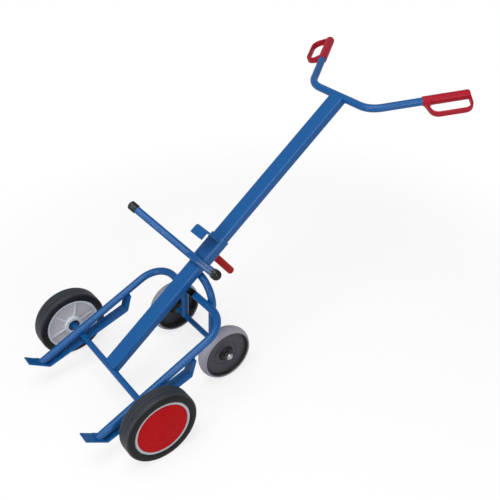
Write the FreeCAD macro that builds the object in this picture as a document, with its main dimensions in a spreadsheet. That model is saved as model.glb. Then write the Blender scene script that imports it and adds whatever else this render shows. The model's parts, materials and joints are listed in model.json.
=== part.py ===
import FreeCAD, Part
import Sketcher
import math
import os
from FreeCAD import Placement, Rotation, Vector

# Drum trolley parked on its four wheels.
# X is lateral, the drum stands on the -Y side, the operator on the +Y side, Z is up.

os.makedirs("parts", exist_ok=True)
doc = FreeCAD.newDocument("drum_trolley")
sheet = doc.addObject("Spreadsheet::Sheet", "sizes")
rows = []
subparts = []

# Places nearer than this count as one
close = 1e-3


class Size:
    """A number together with the named sizes that it is worked out from."""

    def __init__(self, value, text):
        self.value = value
        self.text = text

    def __add__(self, other):
        other = wrap(other)
        return Size(self.value + other.value, "(%s + %s)" % (self.text, other.text))

    def __sub__(self, other):
        other = wrap(other)
        return Size(self.value - other.value, "(%s - %s)" % (self.text, other.text))

    def __mul__(self, other):
        other = wrap(other)
        return Size(self.value * other.value, "(%s * %s)" % (self.text, other.text))

    def __truediv__(self, other):
        other = wrap(other)
        return Size(self.value / other.value, "(%s / %s)" % (self.text, other.text))

    def __rsub__(self, other):
        return wrap(other) - self

    def __rtruediv__(self, other):
        return wrap(other) / self

    def __neg__(self):
        return wrap(0) - self

    __radd__ = __add__
    __rmul__ = __mul__


def wrap(number):
    if isinstance(number, Size):
        return number
    return Size(float(number), repr(float(number)))


def sin(angle):
    return Size(math.sin(math.radians(angle.value)), "sin(%s * 1 deg)" % angle.text)


def cos(angle):
    return Size(math.cos(math.radians(angle.value)), "cos(%s * 1 deg)" % angle.text)


def tan(angle):
    return Size(math.tan(math.radians(angle.value)), "tan(%s * 1 deg)" % angle.text)


def cell(alias, number):
    rows.append(alias)
    row = len(rows)
    sheet.set("A%d" % row, alias)
    sheet.set("B%d" % row, str(number))
    sheet.setAlias("B%d" % row, alias)
    return Size(float(number), "sizes.%s" % alias)


# Large wheels and their axle
seat_d = cell("seat_d", 188)
tyre_t = cell("tyre_t", 31)
wheel_d = seat_d + 2 * tyre_t
wheel_w = cell("wheel_w", 60)
track = cell("track", 617.6)
axle_d = cell("axle_d", 22)
spindle_step = cell("spindle_step", 1)
spindle_d = axle_d - 2 * spindle_step
rim_w = cell("rim_w", 52)
seat_depth = cell("seat_depth", 4)
rim_d = seat_d + 2 * seat_depth
flange_w = cell("flange_w", 3)
barrel_wall = cell("barrel_wall", 7)
cap_d = seat_d - 2 * barrel_wall
cap_edge = cell("cap_edge", 26.5)
cap_crown = cell("cap_crown", 30)
cap_skin = cell("cap_skin", 2.2)
cap_skirt = cell("cap_skirt", 11)
cap_ring = cell("cap_ring", 0.7)
hub_d = cell("hub_d", 66)
hub_inner_reach = cell("hub_inner_reach", 33.5)
hub_outer_reach = cell("hub_outer_reach", 16.5)
bush_d = cell("bush_d", 42)
bush_len = cell("bush_len", 20)
web_w = cell("web_w", 6)
web_off = cell("web_off", -20)
rib_w = cell("rib_w", 4)
rib_count = cell("rib_count", 8)
groove_w = cell("groove_w", 1.6)
groove_depth = cell("groove_depth", 1.2)
groove_count = cell("groove_count", 3)
shoulder = cell("shoulder", 15)
washer_d = cell("washer_d", 30)
washer_w = cell("washer_w", 2.5)
retainer_d = cell("retainer_d", 27)
retainer_w = cell("retainer_w", 2)
retainer_groove = cell("retainer_groove", 1)

# Support wheels and their axle
support_seat_d = cell("support_seat_d", 166)
support_tyre_t = cell("support_tyre_t", 17)
support_d = support_seat_d + 2 * support_tyre_t
support_w = cell("support_w", 50)
support_track = cell("support_track", 318.4)
support_axle_d = cell("support_axle_d", 20)
support_spindle_step = cell("support_spindle_step", 2)
support_spindle_d = support_axle_d - 2 * support_spindle_step
support_rim_w = cell("support_rim_w", 45)
support_seat_depth = cell("support_seat_depth", 4.5)
support_rim_d = support_seat_d + 2 * support_seat_depth
support_hub_d = cell("support_hub_d", 58)
support_bush_d = cell("support_bush_d", 22)
support_web_w = cell("support_web_w", 6)
support_web_off = cell("support_web_off", 5)
support_boss_reach = cell("support_boss_reach", 21)
crown_drop = cell("crown_drop", 9)
support_washer_d = cell("support_washer_d", 30)
nut_flats = cell("nut_flats", 24)
nut_len = cell("nut_len", 11)
nut_dome = cell("nut_dome", 6)

# Tubes and beam
tube_d = cell("tube_d", 26.9)
tube_wall = cell("tube_wall", 2.6)
beam_tilt = cell("beam_tilt", 33.2)
beam_w = cell("beam_w", 60)
beam_depth = cell("beam_depth", 30)
beam_wall = cell("beam_wall", 3)
beam_corner = cell("beam_corner", 5)
beam_front = cell("beam_front", 17.4)
beam_end_gap = cell("beam_end_gap", 7)
beam_foot = cell("beam_foot", 9)
rail_tilt = cell("rail_tilt", 19.6)
rail_inset = cell("rail_inset", 97.4)
rail_half = track / 2 - rail_inset
rail_back = cell("rail_back", 372.3)
rail_front = cell("rail_front", 190)
rail_bend = cell("rail_bend", 87)
bow_lean = cell("bow_lean", 5.4)
bow_half = cell("bow_half", 87.5)
spacer_len = cell("spacer_len", 54)
spacer_w = cell("spacer_w", 25)
spacer_wall = cell("spacer_wall", 2)
spacer_corner = cell("spacer_corner", 3)

# Claws
claw_w = cell("claw_w", 44)
claw_t = cell("claw_t", 6)
strap_tilt = cell("strap_tilt", 13.4)
strap_front = cell("strap_front", 152)
strap_back = cell("strap_back", 180)
riser_tilt = cell("riser_tilt", 69)
toe_rise = cell("toe_rise", 38.5)
toe_len = cell("toe_len", 85.5)
claw_bend = cell("claw_bend", 9)
toe_step = cell("toe_step", 1.5)
toe_clear = cell("toe_clear", 2.5)

# Handlebar and grips
bar_reach = cell("bar_reach", 1215.7)
bar_half = cell("bar_half", 144.7)
bar_bend = cell("bar_bend", 85)
bar_tilt = cell("bar_tilt", 8.7)
arm_splay = cell("arm_splay", 54)
arm_len = cell("arm_len", 330)
grip_len = cell("grip_len", 158)
grip_d = cell("grip_d", 33)
grip_fit = cell("grip_fit", 0.05)
grip_cover = cell("grip_cover", 4)
guard_roll = cell("guard_roll", 15)
guard_reach = cell("guard_reach", 71)
guard_t = cell("guard_t", 8)
guard_w = cell("guard_w", 24)
guard_round = cell("guard_round", 29)
guard_slope = cell("guard_slope", 34)
guard_edge = cell("guard_edge", 2.5)

# Drum cradle and its caps
cradle_rise = cell("cradle_rise", 31)
cradle_half = cell("cradle_half", 31.7)
cradle_bend = cell("cradle_bend", 60)
cradle_splay = cell("cradle_splay", 33.5)
cradle_arm = cell("cradle_arm", 270)
cap_len = cell("cap_len", 34)
cap_wall = cell("cap_wall", 3)
cap_dome = cell("cap_dome", 7)
cap_fit = cell("cap_fit", 0.05)

# Sliding hook
sleeve_len = cell("sleeve_len", 97.4)
sleeve_wall = cell("sleeve_wall", 4)
slide_gap = cell("slide_gap", 1)
rest_gap = cell("rest_gap", 0.35)
hook_w = cell("hook_w", 64)
hook_t = cell("hook_t", 6)
hook_set = cell("hook_set", 15)
hook_reach = cell("hook_reach", 83)
lip_len = cell("lip_len", 37)
lip_round = cell("lip_round", 12)
lip_corner = cell("lip_corner", 3)
pull_reach = cell("pull_reach", 36.4)
pull_rod_d = cell("pull_rod_d", 12)
pull_len = cell("pull_len", 134)
pull_grip_d = cell("pull_grip_d", 27)
pull_grip_len = cell("pull_grip_len", 118)
pull_grip_end = cell("pull_grip_end", 8)

# Fits
run_fit = cell("run_fit", 0.05)
seat_fit = cell("seat_fit", 0.05)
end_float = cell("end_float", 0.35)
doc.recompute()


# Sketch helpers
def new_body(label):
    body = doc.addObject("PartDesign::Body", label)
    body.Label = label
    if "AllowCompound" in body.PropertiesList:
        body.AllowCompound = True
    return body


def datum(body, role):
    for feature in body.Origin.OriginFeatures:
        if feature.Role == role:
            return feature
    raise ValueError(role)


def new_sketch(body, role, name):
    sketch = body.newObject("Sketcher::SketchObject", name)
    sketch.AttachmentSupport = [(datum(body, role), "")]
    sketch.MapMode = "FlatFace"
    return sketch


def bind(sketch, constraint, text):
    index = sketch.addConstraint(constraint)
    sketch.setExpression("Constraints[%d]" % index, text)


def pin_point(sketch, geo, pos, x, y):
    """Holds one point of the sketch at the sizes x and y."""
    for size, kind, axis in ((x, "DistanceX", -2), (y, "DistanceY", -1)):
        size = wrap(size)
        if abs(size.value) < close ** 3:
            sketch.addConstraint(Sketcher.Constraint("PointOnObject", geo, pos, axis))
        elif size.value > 0:
            bind(sketch, Sketcher.Constraint(kind, -1, 1, geo, pos, size.value), size.text)
        else:
            bind(sketch, Sketcher.Constraint(kind, geo, pos, -1, 1, -size.value), (-size).text)


def flat(x, y):
    return Vector(wrap(x).value, wrap(y).value, 0)


def arc_between(start, end, radius, turn):
    """Arc from start to end, to the left with turn 1 and to the right with turn -1."""
    chord = end - start
    half = chord.Length / 2
    rise = math.sqrt(max(radius ** 2 - half ** 2, 0))
    side = Vector(-chord.y, chord.x, 0).normalize() * turn
    centre = (start + end) / 2 + side * rise
    first, last = (start, end) if turn > 0 else (end, start)
    a0 = math.atan2(first.y - centre.y, first.x - centre.x)
    a1 = math.atan2(last.y - centre.y, last.x - centre.x)
    if a1 <= a0:
        a1 += 2 * math.pi
    return Part.ArcOfCircle(Part.Circle(centre, Vector(0, 0, 1), radius), a0, a1)


def chain(sketch, points, arcs=None, closed=True):
    """Lines and arcs through points; arcs maps a segment number to (radius, turn)."""
    arcs = arcs or {}
    count = len(points)
    segments = count if closed else count - 1
    ends = []
    for i in range(segments):
        start = flat(*points[i])
        end = flat(*points[(i + 1) % count])
        if i in arcs:
            radius, turn = arcs[i]
            geo = sketch.addGeometry(arc_between(start, end, wrap(radius).value, turn))
            ends.append((geo, 1, 2) if turn > 0 else (geo, 2, 1))
        else:
            geo = sketch.addGeometry(Part.LineSegment(start, end))
            ends.append((geo, 1, 2))
    for i in range(segments - (0 if closed else 1)):
        geo, _, last = ends[i]
        after, first, _ = ends[(i + 1) % segments]
        sketch.addConstraint(Sketcher.Constraint("Coincident", geo, last, after, first))
    for i in range(segments):
        pin_point(sketch, ends[i][0], ends[i][1], *points[i])
    if not closed:
        pin_point(sketch, ends[-1][0], ends[-1][2], *points[-1])
    for i in arcs:
        radius = wrap(arcs[i][0])
        bind(sketch, Sketcher.Constraint("Radius", ends[i][0], radius.value), radius.text)
    return ends


def ring(sketch, x, y, diameters):
    for diameter in diameters:
        radius = diameter / 2
        geo = sketch.addGeometry(Part.Circle(flat(x, y), Vector(0, 0, 1), radius.value))
        pin_point(sketch, geo, 3, x, y)
        bind(sketch, Sketcher.Constraint("Radius", geo, radius.value), radius.text)


def rounded_box(sketch, width, height, radius, middle):
    """Rectangle with round corners, centred at x = 0 and y = middle."""
    right = width / 2
    top = middle + height / 2
    low = middle - height / 2
    points = [
        (radius - right, low), (right - radius, low), (right, low + radius), (right, top - radius),
        (right - radius, top), (radius - right, top), (-right, top - radius), (-right, low + radius),
    ]
    chain(sketch, points, {1: (radius, 1), 3: (radius, 1), 5: (radius, 1), 7: (radius, 1)})


# Feature helpers
def pad(body, sketch, length, symmetric=False, reverse=False, name="pad"):
    feature = body.newObject("PartDesign::Pad", body.Name + "_" + name)
    feature.Profile = sketch
    feature.Length = length.value
    feature.setExpression("Length", length.text)
    feature.SideType = "Symmetric" if symmetric else "One side"
    feature.Reversed = reverse
    sketch.Visibility = False
    body.Tip = feature
    doc.recompute()
    return feature


def cut_through(body, sketch, name="cut"):
    feature = body.newObject("PartDesign::Pocket", body.Name + "_" + name)
    feature.Profile = sketch
    feature.SideType = "Symmetric"
    feature.Type = "ThroughAll"
    body.Tip = feature
    doc.recompute()
    return feature


def revolve(body, sketch, axis, name="turn"):
    feature = body.newObject("PartDesign::Revolution", body.Name + "_" + name)
    feature.Profile = sketch
    feature.ReferenceAxis = (sketch, [axis])
    feature.Angle = 360
    body.Tip = feature
    doc.recompute()
    return feature


def mirror(body, feature, role="YZ_Plane", name="mirror"):
    both = body.newObject("PartDesign::Mirrored", body.Name + "_" + name)
    both.Originals = [feature]
    both.MirrorPlane = (datum(body, role), [""])
    body.Tip = both
    doc.recompute()
    return both


def fillet(body, feature, edges, radius, name="fillet"):
    rounded = body.newObject("PartDesign::Fillet", body.Name + "_" + name)
    rounded.Base = (feature, edges)
    rounded.Radius = radius.value
    rounded.setExpression("Radius", radius.text)
    body.Tip = rounded
    doc.recompute()
    return rounded


def edges_through(feature, spots, axis):
    """Names of the straight edges along one axis (0, 1 or 2) that pass the given points."""
    names = []
    for number, edge in enumerate(feature.Shape.Edges, 1):
        if len(edge.Vertexes) < 2:
            continue
        run = edge.Vertexes[1].Point - edge.Vertexes[0].Point
        across = [abs(run[k]) for k in range(3) if k != axis]
        if max(across) > close:
            continue
        here = [edge.CenterOfMass[k] for k in range(3) if k != axis]
        for spot in spots:
            if math.hypot(here[0] - spot[0].value, here[1] - spot[1].value) < close:
                names.append("Edge%d" % number)
    return names


def place(body, placement):
    body.Placement = placement
    subparts.append(body)
    return body


def turned(label, points, placement, arcs=None):
    """Solid of revolution about the local X axis; points are (x, radius)."""
    body = new_body(label)
    sketch = new_sketch(body, "XY_Plane", label + "_section")
    chain(sketch, points, arcs)
    revolve(body, sketch, "H_Axis")
    return place(body, placement)


def turned_pair(label, points):
    """Two equal turned pieces, one on each side of the mid-plane."""
    body = new_body(label)
    sketch = new_sketch(body, "XY_Plane", label + "_section")
    chain(sketch, points)
    mirror(body, revolve(body, sketch, "H_Axis"))
    return body


def bent_tube(label, points, arcs):
    """Hollow round tube, drawn from the mid-plane outward and mirrored."""
    body = new_body(label)
    path = new_sketch(body, "XY_Plane", label + "_path")
    chain(path, points, arcs, closed=False)
    profile = new_sketch(body, "YZ_Plane", label + "_profile")
    ring(profile, 0, 0, (tube_d, tube_d - 2 * tube_wall))
    doc.recompute()
    pipe = body.newObject("PartDesign::AdditivePipe", label + "_pipe")
    pipe.Profile = profile
    pipe.Spine = path
    body.Tip = pipe
    doc.recompute()
    mirror(body, pipe)
    return body


def tilted(angle, y, z):
    """Frame turned about X so that its Y axis climbs by the angle."""
    return Placement(Vector(0, wrap(y).value, wrap(z).value), Rotation(Vector(1, 0, 0), angle.value))


def on_beam(along, forward):
    y = along * cos(beam_tilt) - forward * sin(beam_tilt)
    z = along * sin(beam_tilt) + forward * cos(beam_tilt)
    return tilted(beam_tilt, y, z)


def sided(side, x, y=0, z=0):
    """Frame at side * x whose X axis points away from the mid-plane."""
    turn = Rotation() if side > 0 else Rotation(Vector(0, 0, 1), 180)
    return Placement(Vector(side * x.value, wrap(y).value, wrap(z).value), turn)


SIDES = (("left", -1), ("right", 1))
beam_middle = beam_front - beam_depth / 2

# Main beam: coped over the axle below and over the handlebar above
beam = new_body("main_beam")
section = new_sketch(beam, "XZ_Plane", "beam_section")
rounded_box(section, beam_w, beam_depth, beam_corner, beam_middle)
hollow_w = beam_w - 2 * beam_wall
hollow_depth = beam_depth - 2 * beam_wall
rounded_box(section, hollow_w, hollow_depth, beam_corner - beam_wall, beam_middle)
section.AttachmentOffset = Placement(Vector(0, 0, -beam_foot.value), Rotation())
section.setExpression("AttachmentOffset.Base.z", (-beam_foot).text)
pad(beam, section, bar_reach - beam_end_gap - beam_foot, reverse=True)
foot = new_sketch(beam, "YZ_Plane", "beam_foot")
ring(foot, 0, 0, (axle_d,))
cut_through(beam, foot, "foot_cope")
head = new_sketch(beam, "YZ_Plane", "beam_head")
ring(head, bar_reach, beam_middle, (tube_d,))
cut_through(beam, head, "head_cope")
place(beam, on_beam(wrap(0), wrap(0)))

# Handlebar: straight centre with two splayed arms
bend_run = bar_bend * tan(arm_splay / 2)
arm_x = cos(arm_splay)
arm_y = sin(arm_splay)
handlebar = bent_tube("handlebar", [
    (0, 0),
    (bar_half - bend_run, 0),
    (bar_half + bend_run * arm_x, bend_run * arm_y),
    (bar_half + arm_len * arm_x, arm_len * arm_y),
], {1: (bar_bend, 1)})
bar_place = on_beam(bar_reach, beam_middle)
bar_place.Rotation = Rotation(Vector(1, 0, 0), bar_tilt.value)
place(handlebar, bar_place)

# Lower frame: two rails and the cross tube behind the beam
rail_lift = (axle_d + tube_d) / 2
cross_y = rail_back * cos(rail_tilt) - rail_lift * sin(rail_tilt)
cross_z = rail_back * sin(rail_tilt) + rail_lift * cos(rail_tilt)
lower = bent_tube("lower_frame", [
    (0, 0),
    (rail_half - rail_bend, 0),
    (rail_half, -rail_bend),
    (rail_half, -(rail_back + rail_front)),
], {1: (rail_bend, -1)})

# Claw outline, from the toe along the strap to the riser under the rail.
# The toe is thinned in front of the rail, where the rim of the drum sits.
strap_drop = axle_d / 2 + claw_t
toe_turn = 180 - toe_rise


def strap_point(along):
    y = along * cos(strap_tilt) + strap_drop * sin(strap_tilt)
    z = along * sin(strap_tilt) - strap_drop * cos(strap_tilt)
    return (y, z)


def step(point, length, angle):
    return (point[0] + length * cos(angle), point[1] + length * sin(angle))


def inset(point, before, after, depth):
    """Corner of the inner face, where two faces turn from one heading to the next."""
    share = depth / (1 + cos(after - before))
    return (point[0] - share * (sin(before) + sin(after)), point[1] + share * (cos(before) + cos(after)))


def to_rail(point):
    return rail_lift - tube_d / 2 + point[0] * sin(rail_tilt) - point[1] * cos(rail_tilt)


toe_heading = -toe_rise
heel = strap_point(-strap_front)
knee = strap_point(strap_back)
toe = step(heel, toe_len, toe_turn)
heel_in = inset(heel, toe_heading, strap_tilt, claw_t)
knee_in = inset(knee, strap_tilt, riser_tilt, claw_t)
rail_top = axle_d / 2 + tube_d
rail_foot = rail_top + heel_in[0] * sin(rail_tilt) - heel_in[1] * cos(rail_tilt)
ledge_run = rail_foot / sin(toe_turn - rail_tilt) + toe_clear
ledge = step(heel_in, ledge_run, toe_turn)
ledge_low = step(ledge, toe_step, toe_turn + 90)
toe_in = step(ledge_low, toe_len - ledge_run, toe_turn)
climb = sin(riser_tilt - rail_tilt)
top = step(knee, to_rail(knee) / climb, riser_tilt)
top_in = step(knee_in, to_rail(knee_in) / climb, riser_tilt)
for side_name, side in SIDES:
    claw = new_body(side_name + "_claw")
    outline = new_sketch(claw, "YZ_Plane", side_name + "_claw_outline")
    chain(outline, [toe, heel, knee, top, top_in, knee_in, heel_in, ledge, ledge_low, toe_in])
    plate = pad(claw, outline, claw_w, symmetric=True)
    plate = fillet(claw, plate, edges_through(plate, (heel, knee), 0), claw_bend, "outer_bend")
    fillet(claw, plate, edges_through(plate, (heel_in, knee_in), 0), claw_bend - claw_t, "inner_bend")
    place(claw, Placement(Vector(side * rail_half.value, 0, 0), Rotation()))

# Rail ends mitred against the toe
def in_rail(point):
    y = point[0] - cross_y
    z = point[1] - cross_z
    return (y * cos(rail_tilt) + z * sin(rail_tilt), z * cos(rail_tilt) - y * sin(rail_tilt))


mitre_low = step(heel_in, -rail_front, toe_turn)
mitre_high = step(heel_in, rail_front, toe_turn)
ahead = toe_turn + 90
mitre = new_sketch(lower, "YZ_Plane", "rail_mitre")
chain(mitre, [
    in_rail(mitre_low),
    in_rail(mitre_high),
    in_rail(step(mitre_high, rail_front, ahead)),
    in_rail(step(mitre_low, rail_front, ahead)),
])
cut_through(lower, mitre, "mitre")
place(lower, tilted(rail_tilt, cross_y, cross_z))

# Spacer: short square tube between the beam's back and the cross tube
cross_along = cross_y * cos(beam_tilt) + cross_z * sin(beam_tilt)
cross_behind = cross_y * sin(beam_tilt) - cross_z * cos(beam_tilt)
spacer_top = beam_depth - beam_front
spacer_depth = cross_behind - tube_d / 2 - spacer_top
spacer_middle = -(spacer_top + spacer_depth / 2)
spacer = new_body("beam_spacer")
section = new_sketch(spacer, "YZ_Plane", "spacer_section")
rounded_box(section, spacer_w, spacer_depth, spacer_corner, spacer_middle)
hollow = spacer_depth - 2 * spacer_wall
rounded_box(section, spacer_w - 2 * spacer_wall, hollow, spacer_corner - spacer_wall, spacer_middle)
pad(spacer, section, spacer_len, symmetric=True)
place(spacer, on_beam(cross_along, wrap(0)))

# Support bow: arched tube that touches the cross tube and the back of the beam
support_z = (support_d - wheel_d) / 2
support_y = cross_y + tube_d / cos(bow_lean) - (cross_z - support_z) * tan(bow_lean)
beam_back = beam_depth - beam_front + tube_d / 2
bow_rise = (support_y * sin(beam_tilt) - support_z * cos(beam_tilt) - beam_back) / cos(beam_tilt + bow_lean)
bow = bent_tube("support_bow", [
    (0, 0),
    (bow_half, -bow_half),
    (bow_half, -bow_rise),
], {0: (bow_half, -1)})
saddle = new_sketch(bow, "YZ_Plane", "bow_saddle")
ring(saddle, -bow_rise, 0, (support_axle_d,))
cut_through(bow, saddle, "saddle")
bow_y = support_y + bow_rise * sin(bow_lean)
bow_z = support_z + bow_rise * cos(bow_lean)
place(bow, tilted(90 - bow_lean, bow_y, bow_z))

# Main axle with turned spindles
inner_face = track / 2 - hub_inner_reach - end_float
outer_face = track / 2 + hub_outer_reach + end_float
axle_stop = inner_face - washer_w
clip_start = outer_face + washer_w
axle_end = clip_start + 2 * retainer_w
axle_r = axle_d / 2
spindle_r = spindle_d / 2
groove_r = spindle_r - retainer_groove
turned("main_axle", [
    (-axle_end, 0), (axle_end, 0), (axle_end, spindle_r), (clip_start + retainer_w, spindle_r),
    (clip_start + retainer_w, groove_r), (clip_start, groove_r), (clip_start, spindle_r),
    (axle_stop, spindle_r), (axle_stop, axle_r), (-axle_stop, axle_r), (-axle_stop, spindle_r),
    (-clip_start, spindle_r), (-clip_start, groove_r), (-clip_start - retainer_w, groove_r),
    (-clip_start - retainer_w, spindle_r), (-axle_end, spindle_r),
], Placement())


def box_points(x0, x1, r0, r1):
    return [(x0, r0), (x1, r0), (x1, r1), (x0, r1)]


bore_r = spindle_r + seat_fit
washers = turned_pair("axle_washers", box_points(axle_stop, inner_face, bore_r, washer_d / 2))
outer_washer = new_sketch(washers, "XY_Plane", "outer_washer")
chain(outer_washer, box_points(outer_face, clip_start, bore_r, washer_d / 2))
mirror(washers, revolve(washers, outer_washer, "H_Axis", "outer"), name="outer_pair")
place(washers, Placement())
clip_face = clip_start + seat_fit
clip_end = clip_start + retainer_w - seat_fit
clip_r = groove_r + seat_fit
clips = turned_pair("axle_retainers", box_points(clip_face, clip_end, clip_r, retainer_d / 2))
place(clips, Placement())

# Large wheels
rim_half = rim_w / 2
rim_r = rim_d / 2
seat_r = seat_d / 2
barrel_r = cap_d / 2
hub_r = hub_d / 2
bush_r = bush_d / 2
seat_half = rim_half - flange_w
inner_r = barrel_r + flange_w
rib_foot = hub_r - flange_w
rib_deep = hub_inner_reach - flange_w * 2
wheel_r = wheel_d / 2
tyre_half = wheel_w / 2
tread_half = tyre_half - shoulder
seat_out = seat_half - seat_fit
collar_r = rim_r + seat_fit
tyre_points = [
    (-seat_out, seat_r + seat_fit), (seat_out, seat_r + seat_fit), (seat_out, collar_r),
    (tyre_half - flange_w / 2, collar_r), (tyre_half, collar_r + flange_w),
    (tyre_half, wheel_r - shoulder), (tread_half, wheel_r),
]
grooves = int(groove_count.value)
groove_pitch = 2 * tread_half / (grooves + 1)
edge = groove_w / 2
floor = wheel_r - groove_depth
outer_shoulder = len(tyre_points) - 2
for number in range(grooves):
    middle = tread_half - groove_pitch * (number + 1)
    tyre_points += [(middle + edge, wheel_r), (middle + edge / 2, floor)]
    tyre_points += [(middle - edge / 2, floor), (middle - edge, wheel_r)]
inner_shoulder = len(tyre_points)
tyre_points += [
    (-tread_half, wheel_r), (-tyre_half, wheel_r - shoulder), (-tyre_half, collar_r + flange_w),
    (flange_w / 2 - tyre_half, collar_r), (-seat_out, collar_r),
]
tyre_arcs = {outer_shoulder: (shoulder, 1), inner_shoulder: (shoulder, 1)}
rim_points = [
    (-hub_inner_reach, bush_r), (hub_outer_reach, bush_r), (hub_outer_reach, hub_r),
    (web_off + web_w, hub_r), (web_off + web_w, barrel_r), (rim_half, barrel_r), (rim_half, rim_r),
    (seat_half, rim_r), (seat_half, seat_r), (-seat_half, seat_r), (-seat_half, rim_r),
    (-rim_half, rim_r), (-rim_half, inner_r), (web_off, inner_r - flange_w / 2),
    (web_off, hub_r), (-hub_inner_reach, hub_r),
]
rib_points = [
    (web_off + flange_w / 2, rib_foot), (web_off + flange_w / 2, inner_r),
    (flange_w - rim_half, inner_r), (-rib_deep, rib_foot),
]
cap_rim = barrel_r - seat_fit
ring_shares = (0.3, 0.34, 0.62, 0.66)
cap_fall = cap_crown - cap_edge
ring_one = cap_rim * ring_shares[0]
ring_two = cap_rim * ring_shares[1]
ring_three = cap_rim * ring_shares[2]
ring_four = cap_rim * ring_shares[3]
mid_ring = cap_crown - cap_fall / 2
under = cap_skin + cap_ring
cap_points = [
    (cap_crown, 0), (cap_crown, ring_one), (cap_crown - cap_ring, ring_two),
    (mid_ring, ring_three), (mid_ring - cap_ring, ring_four),
    (cap_edge, cap_rim - cap_skin), (cap_edge - cap_ring, cap_rim), (cap_edge - cap_skirt, cap_rim),
    (cap_edge - cap_skirt, cap_rim - cap_skin), (cap_edge - 2 * cap_skin, cap_rim - cap_skin),
    (mid_ring - under, ring_three), (cap_crown - under, ring_one), (cap_crown - under, 0),
]
bush_in = spindle_r + run_fit
bush_out = bush_r - seat_fit
for side_name, side in SIDES:
    seat = sided(side, track / 2)
    turned(side_name + "_tyre", tyre_points, seat, tyre_arcs)
    rim = turned(side_name + "_rim", rim_points, seat)
    rib_sketch = new_sketch(rim, "XY_Plane", side_name + "_rib_outline")
    chain(rib_sketch, rib_points)
    rib = pad(rim, rib_sketch, rib_w, symmetric=True, name="rib")
    ribs = rim.newObject("PartDesign::PolarPattern", side_name + "_ribs")
    ribs.Originals = [rib]
    ribs.Axis = (datum(rim, "X_Axis"), [""])
    ribs.Angle = 360
    ribs.Occurrences = int(rib_count.value)
    ribs.setExpression("Occurrences", rib_count.text)
    rim.Tip = ribs
    turned(side_name + "_hub_cap", cap_points, seat)
    inner_end = bush_len - hub_inner_reach
    turned(side_name + "_inner_bush", box_points(-hub_inner_reach, inner_end, bush_in, bush_out), seat)
    outer_start = hub_outer_reach - bush_len
    turned(side_name + "_outer_bush", box_points(outer_start, hub_outer_reach, bush_in, bush_out), seat)

# Support axle with turned spindles, washers and domed nuts
support_half = support_w / 2
support_in = support_track / 2 - support_half - end_float
support_out = support_track / 2 + support_boss_reach + end_float
support_stop = support_in - washer_w
nut_start = support_out + washer_w
support_end = nut_start + nut_len
support_r = support_axle_d / 2
support_spindle_r = support_spindle_d / 2
support_place = Placement(Vector(0, support_y.value, support_z.value), Rotation())
turned("support_axle", [
    (-support_end, 0), (support_end, 0), (support_end, support_spindle_r),
    (support_stop, support_spindle_r), (support_stop, support_r), (-support_stop, support_r),
    (-support_stop, support_spindle_r), (-support_end, support_spindle_r),
], support_place)
washer_bore = support_spindle_r + seat_fit
washer_r = support_washer_d / 2
washers = turned_pair("support_washers", box_points(support_stop, support_in, washer_bore, washer_r))
outer_washer = new_sketch(washers, "XY_Plane", "support_outer_washer")
chain(outer_washer, box_points(support_out, nut_start, washer_bore, washer_r))
mirror(washers, revolve(washers, outer_washer, "H_Axis", "outer"), name="outer_pair")
place(washers, support_place)
nut_face = nut_start + seat_fit
nut_r = nut_flats / 2
hex_sides = 6
nut_point = nut_r / cos(wrap(180 / hex_sides))
nuts = new_body("support_nuts")
hexagon = new_sketch(nuts, "YZ_Plane", "nut_hexagon")
hexagon.AttachmentOffset = Placement(Vector(0, 0, nut_face.value), Rotation())
hexagon.setExpression("AttachmentOffset.Base.z", nut_face.text)
corners = []
for number in range(hex_sides):
    turn = wrap(360 / hex_sides * number)
    corners.append((nut_point * cos(turn), nut_point * sin(turn)))
chain(hexagon, corners)
ring(hexagon, 0, 0, (2 * washer_bore,))
block = pad(nuts, hexagon, nut_len, name="block")
mirror(nuts, block, name="block_pair")
dome = new_sketch(nuts, "XY_Plane", "nut_dome_section")
dome_start = support_end + seat_fit
dome_end = support_end + nut_dome
dome_foot = dome_start - nut_dome / 2
dome_rise = dome_end - dome_start
dome_r = (nut_r * nut_r + dome_rise * dome_rise) / (2 * dome_rise)
chain(dome, [
    (dome_start, 0), (dome_start, washer_bore), (dome_foot, washer_bore), (dome_foot, nut_r),
    (dome_start, nut_r), (dome_end, 0),
], {4: (dome_r, -1)})
mirror(nuts, revolve(nuts, dome, "H_Axis", "dome"), name="dome_pair")
place(nuts, support_place)

# Support wheels
support_rim_half = support_rim_w / 2
support_rim_r = support_rim_d / 2
support_seat_r = support_seat_d / 2
support_seat_half = support_rim_half - flange_w
support_hub_r = support_hub_d / 2
support_bush_r = support_bush_d / 2
support_inner = support_seat_r - flange_w
support_web = support_web_off + support_web_w
boss_r = support_hub_r - 2 * flange_w
hub_points = [
    (-support_half, support_bush_r), (support_boss_reach, support_bush_r),
    (support_boss_reach, boss_r), (support_web, support_hub_r), (support_web, support_inner),
    (support_rim_half, support_seat_r), (support_rim_half, support_rim_r),
    (support_seat_half, support_rim_r), (support_seat_half, support_seat_r),
    (-support_seat_half, support_seat_r), (-support_seat_half, support_rim_r),
    (-support_rim_half, support_rim_r), (-support_rim_half, support_seat_r),
    (support_web_off, support_inner), (support_web_off, support_hub_r), (-support_half, boss_r),
]
support_wheel_r = support_d / 2
crown_r = (support_half * support_half + crown_drop * crown_drop) / (2 * crown_drop)
seat_end = support_seat_half - seat_fit
lip_r = support_rim_r + seat_fit
support_tyre_points = [
    (-seat_end, support_seat_r + seat_fit), (seat_end, support_seat_r + seat_fit), (seat_end, lip_r),
    (support_half - flange_w / 2, lip_r), (support_half, lip_r + flange_w / 2),
    (support_half, support_wheel_r - crown_drop), (-support_half, support_wheel_r - crown_drop),
    (-support_half, lip_r + flange_w / 2), (flange_w / 2 - support_half, lip_r), (-seat_end, lip_r),
]
support_bush_in = support_spindle_r + run_fit
support_bush_out = support_bush_r - seat_fit
support_bush_len = support_half - flange_w
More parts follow.
